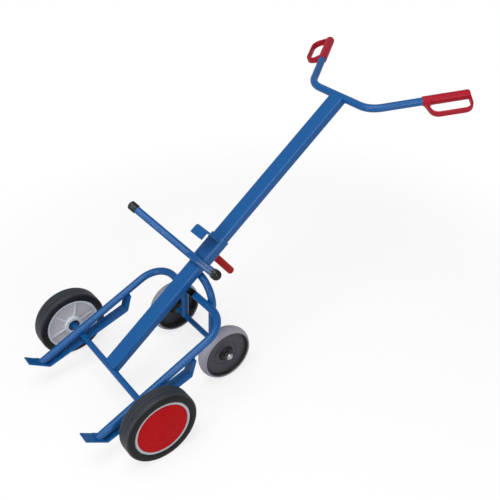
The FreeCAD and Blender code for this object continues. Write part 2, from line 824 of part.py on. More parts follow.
for side_name, side in SIDES:
    seat = sided(side, support_track / 2, support_y, support_z)
    turned(side_name + "_support_tyre", support_tyre_points, seat, {5: (crown_r, 1)})
    turned(side_name + "_support_hub", hub_points, seat)
    bushes = new_body(side_name + "_support_bushes")
    inner_section = new_sketch(bushes, "XY_Plane", side_name + "_support_inner")
    bush_end = support_bush_len - support_half
    chain(inner_section, box_points(-support_half, bush_end, support_bush_in, support_bush_out))
    revolve(bushes, inner_section, "H_Axis", "inner")
    outer_section = new_sketch(bushes, "XY_Plane", side_name + "_support_outer")
    bush_start = support_boss_reach - support_bush_len + flange_w
    chain(outer_section, box_points(bush_start, support_boss_reach, support_bush_in, support_bush_out))
    revolve(bushes, outer_section, "H_Axis", "outer")
    place(bushes, seat)

# Drum cradle and its end caps
cradle_run = cradle_bend * tan(cradle_splay / 2)
cradle_x = cos(cradle_splay)
cradle_y = sin(cradle_splay)
cradle = bent_tube("drum_cradle", [
    (0, 0),
    (cradle_half - cradle_run, 0),
    (cradle_half + cradle_run * cradle_x, cradle_run * cradle_y),
    (cradle_half + cradle_arm * cradle_x, cradle_arm * cradle_y),
], {1: (cradle_bend, 1)})
bow_along = bow_y * cos(beam_tilt) + bow_z * sin(beam_tilt)
cradle_reach = bow_along + cradle_rise
cradle_front = beam_front + tube_d / 2
cradle_place = on_beam(cradle_reach, cradle_front)
cradle_place.Rotation = Rotation(Vector(1, 0, 0), beam_tilt.value + 90)
place(cradle, cradle_place)
end_cap_r = tube_d / 2 + cap_wall
end_cap_in = tube_d / 2 + cap_fit
end_dome_r = (end_cap_r * end_cap_r + cap_dome * cap_dome) / (2 * cap_dome)
end_cap_points = [
    (cap_dome - cap_len, end_cap_in), (0, end_cap_in), (0, 0), (cap_dome, 0), (0, end_cap_r),
    (cap_dome - cap_len, end_cap_r),
]
for side_name, side in SIDES:
    tip = Vector(side * (cradle_half + cradle_arm * cradle_x).value, (cradle_arm * cradle_y).value, 0)
    heading = cradle_splay.value if side > 0 else 180 - cradle_splay.value
    local = Placement(tip, Rotation(Vector(0, 0, 1), heading))
    turned(side_name + "_cradle_cap", end_cap_points, cradle_place.multiply(local), {3: (end_dome_r, 1)})

# Safety grips with knuckle guards
grip_r = grip_d / 2
grip_bore = tube_d / 2 + grip_fit
grip_start = grip_cover - grip_len
sleeve_points = [
    (grip_start, grip_bore), (0, grip_bore), (0, 0), (grip_cover, 0),
    (grip_cover, grip_r - grip_cover), (0, grip_r), (grip_start, grip_r),
]
guard_out = -guard_reach
guard_in = guard_t - guard_reach
guard_near = grip_start + guard_slope
guard_side = grip_start + guard_t
guard_root = -grip_bore
guard_points = [
    (grip_start, guard_root), (guard_near, guard_out), (grip_cover - guard_round, guard_out),
    (grip_cover, guard_out + guard_round), (grip_cover, guard_root),
    (grip_cover - guard_t, guard_root), (grip_cover - guard_t, guard_out + guard_round),
    (grip_cover - guard_round, guard_in), (guard_near + guard_t / 2, guard_in),
    (guard_side + guard_t / 2, guard_root),
]
for side_name, side in SIDES:
    label = side_name + "_grip"
    grip = new_body(label)
    sketch = new_sketch(grip, "XY_Plane", label + "_section")
    chain(sketch, sleeve_points)
    revolve(grip, sketch, "H_Axis")
    loop = new_sketch(grip, "XY_Plane", label + "_guard")
    chain(loop, guard_points, {2: (guard_round, 1), 6: (guard_round - guard_t, -1)})
    guard = pad(grip, loop, guard_w, symmetric=True, name="guard")
    rim_names = []
    for number, edge in enumerate(guard.Shape.Edges, 1):
        point = edge.CenterOfMass
        on_face = abs(abs(point.z) - guard_w.value / 2) < close
        if on_face and point.y < -(grip_r + guard_t).value and edge.BoundBox.ZLength < close:
            rim_names.append("Edge%d" % number)
    fillet(grip, guard, rim_names, guard_edge, "guard_edges")
    tip = Vector(side * (bar_half + arm_len * arm_x).value, (arm_len * arm_y).value, 0)
    heading = arm_splay.value if side > 0 else 180 - arm_splay.value
    roll = guard_roll.value if side > 0 else 180 - guard_roll.value
    local = Placement(tip, Rotation(Vector(0, 0, 1), heading))
    spin = Placement(Vector(), Rotation(Vector(1, 0, 0), roll))
    place(grip, bar_place.multiply(local).multiply(spin))

# Sliding hook: sleeve on the beam, hook in front, pull grip behind
sleeve_start = cradle_reach + tube_d / 2 + rest_gap
bore_w = beam_w + 2 * slide_gap
bore_depth = beam_depth + 2 * slide_gap
sleeve = new_body("hook_sleeve")
section = new_sketch(sleeve, "XZ_Plane", "sleeve_section")
sleeve_corner = beam_corner + slide_gap
outer_w = bore_w + 2 * sleeve_wall
outer_depth = bore_depth + 2 * sleeve_wall
rounded_box(section, outer_w, outer_depth, sleeve_corner + sleeve_wall, beam_middle)
rounded_box(section, bore_w, bore_depth, sleeve_corner, beam_middle)
pad(sleeve, section, sleeve_len, reverse=True)
place(sleeve, on_beam(sleeve_start, wrap(0)))

sleeve_face = beam_front + slide_gap + sleeve_wall
web_top = sleeve_len - hook_set
lip_face = beam_front + hook_reach
hook = new_body("drum_hook")
outline = new_sketch(hook, "YZ_Plane", "hook_outline")
lip_end = web_top - lip_len
corner = (web_top, lip_face)
corner_in = (web_top - hook_t, lip_face - hook_t)
chain(outline, [
    (web_top, sleeve_face), corner, (lip_end, lip_face), (lip_end, lip_face - hook_t),
    corner_in, (web_top - hook_t, sleeve_face),
])
plate = pad(hook, outline, hook_w, symmetric=True)
plate = fillet(hook, plate, edges_through(plate, (corner,), 0), lip_round, "outer_bend")
plate = fillet(hook, plate, edges_through(plate, (corner_in,), 0), lip_round - hook_t, "inner_bend")
lip_corners = [(hook_w / 2, lip_end), (-hook_w / 2, lip_end)]
fillet(hook, plate, edges_through(plate, lip_corners, 2), lip_corner, "lip_corners")
place(hook, on_beam(sleeve_start, wrap(0)))

sleeve_back = beam_depth - beam_front + slide_gap + sleeve_wall
pull_place = on_beam(sleeve_start + pull_reach, -sleeve_back)
pull_place.Rotation = pull_place.Rotation.multiply(Rotation(Vector(0, 1, 0), 90))
rod_r = pull_rod_d / 2
grip_gap = pull_len - pull_grip_len
rod_tip = pull_len - pull_grip_end
turned("pull_rod", box_points(0, rod_tip, 0, rod_r), pull_place)
pull_r = pull_grip_d / 2
pull_bore = rod_r + seat_fit
turned("pull_grip", [
    (grip_gap, pull_bore), (rod_tip + seat_fit, pull_bore), (rod_tip + seat_fit, 0), (pull_len, 0),
    (pull_len, pull_r - pull_grip_end / 2), (pull_len - pull_grip_end / 2, pull_r),
    (grip_gap + pull_grip_end / 2, pull_r), (grip_gap, pull_r - pull_grip_end / 2),
], pull_place, {4: (pull_grip_end / 2, 1)})

# Origin on the floor under the middle of the trolley
doc.recompute()
whole = FreeCAD.BoundBox()
for piece in subparts:
    whole.add(piece.Shape.optimalBoundingBox(False, False))
origin = Vector(0, -whole.Center.y, -whole.ZMin)
for piece in subparts:
    piece.Placement = Placement(origin, Rotation()).multiply(piece.Placement)
doc.recompute()
faulty = [thing.Label for thing in doc.Objects if "Invalid" in thing.State or "Error" in thing.State]
if faulty:
    raise RuntimeError("features not built: " + ", ".join(faulty))
for piece in subparts:
    if piece.Shape.isNull() or not piece.Shape.isValid():
        raise RuntimeError("no sound solid: " + piece.Label)
    piece.Shape.exportStep("parts/" + piece.Label + ".step")
    print(piece.Label, len(piece.Shape.Solids), round(piece.Shape.Volume))
print("origin shift", origin, "size", whole.XLength, whole.YLength, whole.ZLength)
print("support axle", support_y.value, support_z.value, "cradle", cradle_reach.value, "pieces", len(subparts))
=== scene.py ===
# %% [markdown]
# # A drum trolley, dressed
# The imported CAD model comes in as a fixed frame: every node sits where the real piece sits, in metres.
# This lesson keeps the small hidden pieces as they are and rebuilds the visible ones with smooth tubes,
# rounded edges, weld beads and moulded grips, each in the exact place of the node that it stands for.

# %% Load the frame
import json
import math
import bmesh
import bpy
from mathutils import Matrix, Vector


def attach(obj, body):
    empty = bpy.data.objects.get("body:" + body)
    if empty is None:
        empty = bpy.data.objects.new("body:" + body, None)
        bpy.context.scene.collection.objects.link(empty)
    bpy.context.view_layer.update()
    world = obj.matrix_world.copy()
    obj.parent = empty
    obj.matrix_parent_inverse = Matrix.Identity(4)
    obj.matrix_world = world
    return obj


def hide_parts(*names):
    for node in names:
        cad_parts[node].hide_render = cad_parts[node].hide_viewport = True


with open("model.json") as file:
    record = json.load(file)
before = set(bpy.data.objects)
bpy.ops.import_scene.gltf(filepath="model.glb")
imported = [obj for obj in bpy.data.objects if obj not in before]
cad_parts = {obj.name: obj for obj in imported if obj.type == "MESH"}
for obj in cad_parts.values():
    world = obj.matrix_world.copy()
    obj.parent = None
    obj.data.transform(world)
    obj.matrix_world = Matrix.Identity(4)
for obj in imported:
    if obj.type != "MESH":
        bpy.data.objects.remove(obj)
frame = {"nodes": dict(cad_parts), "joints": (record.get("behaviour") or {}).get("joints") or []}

scene = bpy.context.scene
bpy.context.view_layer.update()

# %% [markdown]
# ## Where things are
# A joint knows its own place: the wheel joints give both axles, and the hook's slide gives the direction of
# the beam. A third direction follows from it, so any point in the middle plane can be written as "so far up
# the beam, so far out of its drum side".

# %% Places from the joints
joints = {joint["name"]: joint for joint in frame["joints"]}
across = Vector((1, 0, 0))
upward = Vector((0, 0, 1))
along = Vector(joints["hook_slide"]["axis"]).normalized()
forward = across.cross(along)
SIDES = (("left", -1), ("right", 1))


def wheel_place(joint):
    """How far a wheel stands from the middle plane, and the middle of its axle."""
    place = Vector(joints[joint]["pos_m"])
    return place.x, Vector((0, place.y, place.z))


wheel_x, axle = wheel_place("right_wheel_spin")
support_x, support = wheel_place("right_support_spin")


def on_beam(climb, out):
    return axle + along * climb + forward * out


print("axle", axle, "support axle", support, "beam direction", along)

# %% [markdown]
# ## One way to write node trees
# Node trees get long in code, so two small classes shorten them. A `Knob` wraps a socket and turns Python's
# operators into Math nodes; a `Graph` adds any other node with its settings and inputs in one call.

# %% Knobs and graphs
def math_node(operation, swap=False):
    """A method that feeds a Math node with its own socket and, where there is one, a second value."""
    def method(self, other=0.0):
        inputs = [other, self] if swap else [self, other]
        return self.graph.node("ShaderNodeMath", {"operation": operation}, inputs)
    return method


class Knob:
    """One output socket; arithmetic on it adds Math nodes to its graph."""

    def __init__(self, graph, socket):
        self.graph = graph
        self.socket = socket

    __add__ = __radd__ = math_node("ADD")
    __sub__ = math_node("SUBTRACT")
    __rsub__ = math_node("SUBTRACT", swap=True)
    __mul__ = __rmul__ = math_node("MULTIPLY")
    __truediv__ = math_node("DIVIDE")
    __rtruediv__ = math_node("DIVIDE", swap=True)
    __pow__ = math_node("POWER")
    __rpow__ = math_node("POWER", swap=True)
    sine = math_node("SINE")
    size = math_node("ABSOLUTE")

    def fade(self, low, high):
        """0 below low, 1 above high, smooth between."""
        values = {"Value": self, "From Min": low, "From Max": high}
        return self.graph.node("ShaderNodeMapRange", {"interpolation_type": "SMOOTHSTEP"}, values)

    def wave(self, pitch):
        """Swings between 0 and 1; the pitch is in radians per metre."""
        return (self * pitch).sine() * 0.5 + 0.5


class Graph:
    """A node tree that is filled by one method."""

    def __init__(self, tree):
        self.tree = tree

    def node(self, kind, settings=None, values=(), out=0):
        made = self.tree.nodes.new(kind)
        for label, value in (settings or {}).items():
            setattr(made, label, value)
        pairs = values.items() if isinstance(values, dict) else enumerate(values)
        for key, value in pairs:
            if isinstance(value, Knob):
                self.tree.links.new(value.socket, made.inputs[key])
            else:
                made.inputs[key].default_value = value
        return Knob(self, made.outputs[out])

    def ray(self, kind):
        """1 for rays of a kind, such as Camera or Glossy, and 0 for others."""
        return self.node("ShaderNodeLightPath", out="Is %s Ray" % kind)


# %% [markdown]
# A finish is a material with one Principled shader. What is the same all over the surface goes straight on
# the shader's sockets. What changes, such as colour, roughness and fine relief, is fed from nodes that read
# Object coordinates, so the pattern stays on the piece when its body moves.

# %% Finishes
COLOUR_A, COLOUR_B, COLOUR_OUT = 6, 7, 2  # sockets of a Mix node that take and give colours


class Finish(Graph):
    """A material in the making."""

    def __init__(self, name, **constants):
        self.material = bpy.data.materials.new(name)
        self.material.use_nodes = True
        super().__init__(self.material.node_tree)
        self.shader = self.tree.nodes["Principled BSDF"]
        for label, value in constants.items():
            self.shader.inputs[label.replace("_", " ")].default_value = value
        self.place = self.node("ShaderNodeTexCoord", out="Object")

    def noise(self, scale, detail=2.0):
        values = {"Vector": self.place, "Scale": scale, "Detail": detail}
        return self.node("ShaderNodeTexNoise", None, values, "Fac")

    def axis(self, letter):
        return self.node("ShaderNodeSeparateXYZ", None, [self.place], letter)

    def from_axle(self, centre):
        """Distance from a line along X through the centre."""
        run = self.axis("Y") - centre.y
        rise = self.axis("Z") - centre.z
        return (run * run + rise * rise) ** 0.5

    def from_wheel(self):
        """Distance from a large wheel's middle, above 0 on its outer side, below 0 on the frame's side."""
        return self.axis("X").size() - wheel_x

    def blend(self, first, second, share):
        """Mixes two colours; each is red, green and blue or comes from a node."""
        values = {"Factor": share}
        for socket, colour in ((COLOUR_A, first), (COLOUR_B, second)):
            values[socket] = colour if isinstance(colour, Knob) else (*colour, 1)
        return self.node("ShaderNodeMix", {"data_type": "RGBA"}, values, COLOUR_OUT)

    def wear(self, colour, roughness=None, relief=None, height=0.0, strength=0.0):
        """Feeds the shader with what changes over the surface, and gives the material back."""
        fed = {"Base Color": colour, "Roughness": roughness}
        if relief:
            values = {"Strength": strength, "Distance": height, "Height": relief}
            fed["Normal"] = self.node("ShaderNodeBump", None, values)
        for label, knob in fed.items():
            if knob:
                self.tree.links.new(knob.socket, self.shader.inputs[label])
        print("finish", self.material.name, len(self.tree.nodes), "nodes")
        return self.material


# %% [markdown]
# ## Paint
# The frame is powder coated in one gloss blue. Powder coat is never quite flat: it flows into a fine orange
# peel, and its shade drifts a little over a long tube. A coat layer gives the soft streaks of light.

# %% Blue powder coat
def blue_powder_coat(name, painted_shade_mask=None):
    """Paint; the optional mask function gives 1 where the colour turns near-black as painted shade."""
    paint = Finish(name, Specular_IOR_Level=0.05, Coat_Weight=0.55, Coat_Roughness=0.3)
    drift = paint.noise(scale=3.5, detail=3)
    peel = paint.noise(scale=420, detail=1)
    colour = paint.blend((0.0018, 0.072, 0.242), (0.0028, 0.086, 0.282), drift)
    if painted_shade_mask:
        # Near-black where the mask is 1: unpainted metal in the bore, darkened further as painted shade.
        bore_shade = paint.blend((0.0015, 0.0016, 0.0020), (0.0030, 0.0032, 0.0038), drift)
        colour = paint.blend(colour, bore_shade, painted_shade_mask(paint))
    return paint.wear(colour, 0.36 + drift * 0.08, peel, height=0.00002, strength=0.03)


paint_finish = blue_powder_coat("blue_powder_coat")

# %% [markdown]
# ## Rubber and plastics
# The big tyres are black rubber with fine turned lines on tread and wall. The small ones are grey rubber
# that doesn't mark floors. Rims, caps, hubs and grips are moulded, each with its own grain.

# %% Tyres
def black_rubber():
    wall_edge = (0.0250, 0.0298)
    rubber = Finish("black_rubber", Specular_IOR_Level=0.2)
    out = rubber.from_wheel()
    off = out.size()
    lines = off.wave(900)
    dust = rubber.noise(scale=26, detail=4)
    grain = rubber.noise(scale=900)
    tread = rubber.blend((0.008, 0.011, 0.014), (0.044, 0.051, 0.061), dust * 0.3 + lines * 0.7)
    # The wall is lighter on the frame's side and darker on the outer side.
    frame_side_wall = rubber.blend((0.0054, 0.0060, 0.0070), (0.0098, 0.0106, 0.0120), dust)
    outer_side_wall = rubber.blend((0.0012, 0.0015, 0.0020), (0.0026, 0.0031, 0.0040), dust)
    wall = rubber.blend(frame_side_wall, outer_side_wall, out.fade(-0.01, 0.01))
    colour = rubber.blend(tread, wall, off.fade(*wall_edge))
    turned = (rubber.from_axle(axle) * 4200).sine()
    relief = lines * 0.6 + turned * 0.2 + grain * 0.2
    return rubber.wear(colour, 0.40 + dust * 0.14, relief, height=0.00012, strength=0.22)


def grey_rubber():
    rubber = Finish("grey_rubber", Specular_IOR_Level=0.25)
    cloud = rubber.noise(scale=18, detail=4)
    speck = rubber.noise(scale=1400)
    colour = rubber.blend((0.235, 0.230, 0.275), (0.325, 0.320, 0.378), cloud * 0.75 + speck * 0.25)
    return rubber.wear(colour, 0.48 + cloud * 0.14, speck, height=0.0001, strength=0.25)


tyre_finish = black_rubber()
support_tyre_finish = grey_rubber()

# %% [markdown]
# Rims, caps and hubs could take one flat colour each, but a moulding looks different where it is thick and
# where it is turned, and these finishes also paint light and shade into it. They ask how far a point is from
# its
# axle or from the middle of its wheel: the rim's dish gets painted shade, its raised lip and ribs a painted
# highlight, its outer ring is darker, the hub's boss is near-black and the wall by the hub's lip gets painted
# shade, all on one mesh.

# %% Rims, caps and hubs
def pale_moulding():
    lip_highlight_band = (0.0210, 0.0262)
    outer_ring_band = (0.0202, 0.0250)
    plastic = Finish("pale_moulding", Specular_IOR_Level=0.35)
    flow = plastic.noise(scale=9, detail=3)
    grain = plastic.noise(scale=1100)
    out = plastic.from_wheel()
    # The dish is darker as painted shade; what reaches past it on the frame's side, lip, rib crests and hub
    # end, takes the lighter colour below as a painted highlight.
    dish_painted_shade = plastic.blend((0.44, 0.42, 0.46), (0.53, 0.51, 0.55), flow)
    edge = plastic.blend((0.56, 0.61, 0.66), (0.63, 0.68, 0.73), flow)
    # The ring on the outer face is darker than the lip on the frame's side.
    ring = plastic.blend((0.36, 0.38, 0.43), (0.44, 0.46, 0.51), flow)
    inside = plastic.blend(dish_painted_shade, edge, (out * -1).fade(*lip_highlight_band))
    colour = plastic.blend(inside, ring, out.fade(*outer_ring_band))
    return plastic.wear(colour, 0.38 + flow * 0.12, grain, height=0.0001, strength=0.2)


def red_cap_moulding():
    plastic = Finish("red_cap_moulding", Specular_IOR_Level=0.03)
    rings = plastic.from_axle(axle).wave(520)
    flow = plastic.noise(scale=14, detail=3)
    colour = plastic.blend((0.35, 0.004, 0.006), (0.44, 0.007, 0.009), rings * 0.2 + flow * 0.8)
    return plastic.wear(colour, 0.36 + flow * 0.1, rings, height=0.0003, strength=0.1)


def charcoal_moulding():
    boss_edge = (0.026, 0.031)
    lip_shade_band = (0.0775, 0.0810)
    plastic = Finish("charcoal_moulding", Specular_IOR_Level=0.3)
    reach = plastic.from_axle(support)
    rings = reach.wave(900)
    flow = plastic.noise(scale=16, detail=3)
    grain = plastic.noise(scale=1200)
    web = plastic.blend((0.036, 0.034, 0.042), (0.060, 0.056, 0.068), flow)
    boss_and_lip_shade = plastic.blend((0.006, 0.006, 0.007), (0.012, 0.011, 0.014), flow)
    inside = plastic.blend(boss_and_lip_shade, web, reach.fade(*boss_edge))
    # Near the outer lip the web turns most of the way to the boss's near-black: painted shade on the dish's
    # inner wall.
    colour = plastic.blend(inside, boss_and_lip_shade, reach.fade(*lip_shade_band) * 0.75)
    relief = rings * 0.5 + grain * 0.5
    return plastic.wear(colour, 0.42 + flow * 0.14, relief, height=0.00014, strength=0.25)


rim_finish = pale_moulding()
cap_finish = red_cap_moulding()
hub_finish = charcoal_moulding()

# %% [markdown]
# Hand grips, pull grip and end caps differ only in colour, grain and gloss, so one function makes all three.

# %% Grips and end caps
def moulded(name, dark, light, grain_scale, rough, gloss):
    plastic = Finish(name, Specular_IOR_Level=gloss)
    flow = plastic.noise(scale=12, detail=3)
    grain = plastic.noise(grain_scale)
    colour = plastic.blend(dark, light, flow)
    return plastic.wear(colour, rough + flow * 0.1, grain, height=0.00012, strength=0.25)


grip_finish = moulded("crimson_grip", (0.30, 0.004, 0.016), (0.38, 0.006, 0.022),
                      grain_scale=700, rough=0.32, gloss=0.16)
pull_finish = moulded("red_pull_grip", (0.30, 0.004, 0.004), (0.37, 0.006, 0.006),
                      grain_scale=900, rough=0.28, gloss=0.10)
end_cap_finish = moulded("black_end_cap", (0.004, 0.004, 0.005), (0.009, 0.009, 0.010),
                         grain_scale=900, rough=0.28, gloss=0.30)

# %% [markdown]
# ## Bare metal
# The domed nuts are plated and polished, the washers and retainers are zinc plated. Metal takes its look from
# roughness, so that is where the nodes go.

# %% Metals
def bare_metal(name, dark, light, rough, scale):
    metal = Finish(name, Metallic=1.0)
    cloud = metal.noise(scale, detail=4)
    scratch = metal.noise(scale * 30, detail=1)
    colour = metal.blend(dark, light, cloud)
    return metal.wear(colour, rough + cloud * 0.12, scratch, height=0.00005, strength=0.2)


nut_finish = bare_metal("plated_nut", (0.36, 0.36, 0.38), (0.50, 0.50, 0.52), rough=0.16, scale=60)
zinc_finish = bare_metal("zinc_plate", (0.10, 0.10, 0.11), (0.17, 0.17, 0.17), rough=0.34, scale=90)

# %% [markdown]
# ## Meshes
# Every piece is a plain mesh whose object stays at the origin, like the CAD nodes. A helper gives the mesh
# clean normals and sharp creases, links it, lets it ride on its body and hides the node that it replaces.

# %% Piece helper
CREASE = math.radians(32)
WELD = 1e-6


def tidy(mesh):
    work = bmesh.new()
    work.from_mesh(mesh)
    bmesh.ops.remove_doubles(work, verts=work.verts, dist=WELD)
    bmesh.ops.recalc_face_normals(work, faces=work.faces)
    work.to_mesh(mesh)
    work.free()
    mesh.shade_smooth()
    mesh.set_sharp_from_angle(angle=CREASE)
    return mesh


def add_piece(name, mesh, finish, body, slot, *stands_for):
    mesh.name = name
    tidy(mesh)
    mesh.materials.clear()
    mesh.materials.append(finish)
    piece = bpy.data.objects.new(name, mesh)
    scene.collection.objects.link(piece)
    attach(piece, body)
    if stands_for:
        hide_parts(*stands_for)
    print(name, len(mesh.polygons), "faces on", body)


def add_painted(name, mesh, body, *stands_for):
    add_piece(name, mesh, paint_finish, body, "frame_paint", *stands_for)


def mesh_from(points, faces):
    mesh = bpy.data.meshes.new("shape")
    mesh.from_pydata([tuple(point) for point in points], [], faces)
    return mesh


def joined(*meshes):
    work = bmesh.new()
    for mesh in meshes:
        work.from_mesh(mesh)
    whole = bpy.data.meshes.new("shape")
    work.to_mesh(whole)
    work.free()
    return whole


# %% [markdown]
# Most outlines here are a few corners, each with its own rounding. `soften` replaces a corner by an arc that
# touches both edges. Turned pieces spin such an outline round an axis; plates push it sideways.

# %% Softened outlines
def soften(corners, closed, steps=5):
    """Corners are (u, v, radius); gives the points of the rounded outline."""
    points = []
    count = len(corners)
    for i, (u, v, radius) in enumerate(corners):
        here = Vector((u, v))
        if radius <= 0 or (not closed and i in (0, count - 1)):
            points.append(here)
            continue
        before = Vector(corners[i - 1][:2]) - here
        after = Vector(corners[(i + 1) % count][:2]) - here
        half = before.angle(after) / 2
        reach = min(radius / math.tan(half), before.length * 0.499, after.length * 0.499)
        radius = reach * math.tan(half)
        start = here + before.normalized() * reach
        end = here + after.normalized() * reach
        centre = here + (before.normalized() + after.normalized()).normalized() * (radius / math.sin(half))
        sweep = (start - centre).angle_signed(end - centre)
        for step in range(steps + 1):
            spoke = start - centre
            spoke.rotate(Matrix.Rotation(-sweep * step / steps, 2))
            points.append(centre + spoke)
    return points


def full_turn(count):
    return [math.tau * step / count for step in range(count)]


NO_RADIUS = 1e-7


def lathe(corners, origin, axis, closed=True, turns=96):
    """Spins an outline of (along the axis, radius, rounding) round the axis."""
    outline = soften(corners, closed)
    axis = axis.normalized()
    first = axis.orthogonal().normalized()
    second = axis.cross(first)
    points = []
    rings = []
    for u, radius in outline:
        spin = turns if radius > NO_RADIUS else 1
        rings.append((len(points), spin))
        for angle in full_turn(turns)[:spin]:
            spoke = first * math.cos(angle) + second * math.sin(angle)
            points.append(origin + axis * u + spoke * radius)
    faces = []
    for i in range(len(rings) if closed else len(rings) - 1):
        low, low_count = rings[i]
        high, high_count = rings[(i + 1) % len(rings)]
        for step in range(turns if max(low_count, high_count) > 1 else 0):
            follow = (step + 1) % turns
            face = [low + step % low_count, low + follow % low_count,
                    high + follow % high_count, high + step % high_count]
            faces.append(list(dict.fromkeys(face)))
    return mesh_from(points, faces)


# %% [markdown]
# ## Bent tubes
# The handlebar, the rails, the bow and the cradle are all one tube size, bent round a former. That is a rule,
# so one Geometry Nodes tree makes them all: it rounds the corners of a poly line and sweeps a circle along.

# %% Recipe class
def worked(data, add_modifiers):
    """Puts a mesh or curve on a carrier, lets modifiers work on it and gives back a plain mesh."""
    carrier = bpy.data.objects.new("carrier", data)
    scene.collection.objects.link(carrier)
    add_modifiers(carrier.modifiers)
    ready = carrier.evaluated_get(bpy.context.evaluated_depsgraph_get())
    mesh = bpy.data.meshes.new_from_object(ready)
    bpy.data.objects.remove(carrier)
    return mesh


class Recipe(Graph):
    """A Geometry Nodes tree with named inputs, run on a curve or mesh to give a plain mesh."""

    def __init__(self, name, **inputs):
        super().__init__(bpy.data.node_groups.new(name, "GeometryNodeTree"))
        face = self.tree.interface
        face.new_socket("Geometry", in_out="INPUT", socket_type="NodeSocketGeometry")
        self.keys = {}
        for label, kind in {**inputs, "Material": "Material"}.items():
            socket = face.new_socket(label, in_out="INPUT", socket_type="NodeSocket" + kind)
            self.keys[label] = socket.identifier
        face.new_socket("Geometry", in_out="OUTPUT", socket_type="NodeSocketGeometry")
        self.entry = self.tree.nodes.new("NodeGroupInput")
        self.exit = self.tree.nodes.new("NodeGroupOutput")

    def given(self, label):
        return Knob(self, self.entry.outputs[label])

    def close(self, geometry):
        smooth = self.node("GeometryNodeSetShadeSmooth", None, {"Geometry": geometry})
        whole = self.node("GeometryNodeRealizeInstances", None, {"Geometry": smooth})
        values = {"Geometry": whole, "Material": self.given("Material")}
        dressed = self.node("GeometryNodeSetMaterial", None, values)
        self.tree.links.new(dressed.socket, self.exit.inputs["Geometry"])

    def grow(self, source, **values):
        def add_recipe(modifiers):
            modifier = modifiers.new("recipe", "NODES")
            modifier.node_group = self.tree
            for label, value in values.items():
                modifier[self.keys[label]] = value
        return worked(source, add_recipe)


def routes(*lines):
    """A curve of poly lines; each line is (points, whether it closes)."""
    curve = bpy.data.curves.new("route", "CURVE")
    curve.dimensions = "3D"
    for points, closes in lines:
        spline = curve.splines.new("POLY")
        spline.points.add(len(points) - 1)
        for spot, point in zip(spline.points, points):
            spot.co = (*point, 1)
        spline.use_cyclic_u = closes
    return curve


# %% [markdown]
# The recipe itself is short. Fillet Curve does what the bending machine does, a circle is the section, and
# Curve to Mesh sweeps it along. Radius, bend and the number of faces are inputs.

# %% The tube recipe
def make_tube_recipe():
    recipe = Recipe("bent_tube", Radius="Float", Bend="Float", Sides="Int", Steps="Int")
    values = {"Curve": recipe.given("Geometry"), "Count": recipe.given("Steps"),
              "Radius": recipe.given("Bend"), "Limit Radius": True}
    path = recipe.node("GeometryNodeFilletCurve", {"mode": "POLY"}, values)
    values = {"Resolution": recipe.given("Sides"), "Radius": recipe.given("Radius")}
    ring = recipe.node("GeometryNodeCurvePrimitiveCircle", None, values, "Curve")
    values = {"Curve": path, "Profile Curve": ring, "Fill Caps": True}
    recipe.close(recipe.node("GeometryNodeCurveToMesh", None, values))
    return recipe


tube_recipe = make_tube_recipe()
tube_r = 0.01345


def bent_tube(points, bend):
    return tube_recipe.grow(routes((points, False)), Radius=tube_r, Bend=bend, Sides=48, Steps=20,
                            Material=paint_finish)


print("tube recipe", len(tube_recipe.tree.nodes), "nodes")

# %% [markdown]
# The handlebar crosses the beam's upper end and splays into two arms. It lies in a plane of its own, a little
# steeper than the floor.

# %% Handlebar
def heading(angle):
    """Direction in the side view that climbs by an angle while it runs to the back."""
    return Vector((0, math.cos(angle), math.sin(angle)))


class SplayedBar:
    """A tube with a straight middle and two arms that splay from it and lean one way."""

    def __init__(self, middle, half, lean, splay, arm):
        self.middle = middle
        self.half = half
        self.lean = lean
        self.splay = splay
        self.arm = arm

    def corner(self, side):
        return self.middle + across * side * self.half

    def heading(self, side):
        return across * side * math.cos(self.splay) + self.lean * math.sin(self.splay)

    def tip(self, side):
        return self.corner(side) + self.heading(side) * self.arm

    def tube(self, bend):
        return bent_tube([self.tip(-1), self.corner(-1), self.corner(1), self.tip(1)], bend)


beam_front = 0.0174
beam_depth = 0.030
beam_middle = beam_front - beam_depth / 2
bar_climb = 1.2157
bar_back = heading(math.radians(8.7))
bar_up = across.cross(bar_back)
handlebar = SplayedBar(on_beam(bar_climb, beam_middle), half=0.1447, lean=bar_back,
                       splay=math.radians(54), arm=0.330)
add_painted("handlebar_tube", handlebar.tube(bend=0.085), "frame", "handlebar")

# %% [markdown]
# A claw is one flat bar: a riser under the rail, a strap under the axle and an upturned toe for the drum.
# Claws and rails lie against the axle and against each other, so their lines in the side view are worked
# out together, from the axle outwards.

# %% Lines of the claws and rails
QUARTER = math.pi / 2
axle_r = 0.011
claw_t = 0.006
claw_w = 0.044

strap_front = 0.152
strap_back = 0.180
strap_tilt = math.radians(13.4)
strap_run = heading(strap_tilt)
strap_up = heading(strap_tilt + QUARTER)
strap_under = axle - strap_up * (axle_r + claw_t)
heel = strap_under - strap_run * strap_front
knee = strap_under + strap_run * strap_back

toe_len = 0.0855
toe_rise = math.radians(38.5)
toe = heel + heading(math.pi - toe_rise) * toe_len
toe_face = heading(QUARTER - toe_rise)
toe_inside = heel + toe_face * claw_t

rail_inset = 0.0974
rail_front = 0.19
rail_back = 0.3723
rail_tilt = math.radians(19.6)
rail_run = heading(rail_tilt)
rail_up = heading(rail_tilt + QUARTER)
rail_half = wheel_x - rail_inset
rail_line = axle + rail_up * (axle_r + tube_r)
rail_under = rail_line - rail_up * tube_r
rail_end = rail_line - rail_run * rail_front
cross_middle = rail_line + rail_run * rail_back

riser_tilt = math.radians(69)
riser_run = heading(riser_tilt)
riser_top = knee + riser_run * ((rail_under - knee).dot(rail_up) / riser_run.dot(rail_up))
print("claw from", toe, "to", riser_top, "rails from", rail_end, "to", cross_middle)

# %% [markdown]
# The lower frame is one tube bent to a U: two rails that lie on the axle and a cross tube behind the beam.
# The rails end in a mitre on the upturned claws, so the mesh is cut there by the plane of the claw's face.

# %% Rails
def arch_tube(end, corner, half, bend):
    """A tube bent to a U, from an end to a corner on the left, across, and back on the right."""
    left, right = across * -half, across * half
    return bent_tube([end + left, corner + left, corner + right, end + right], bend)


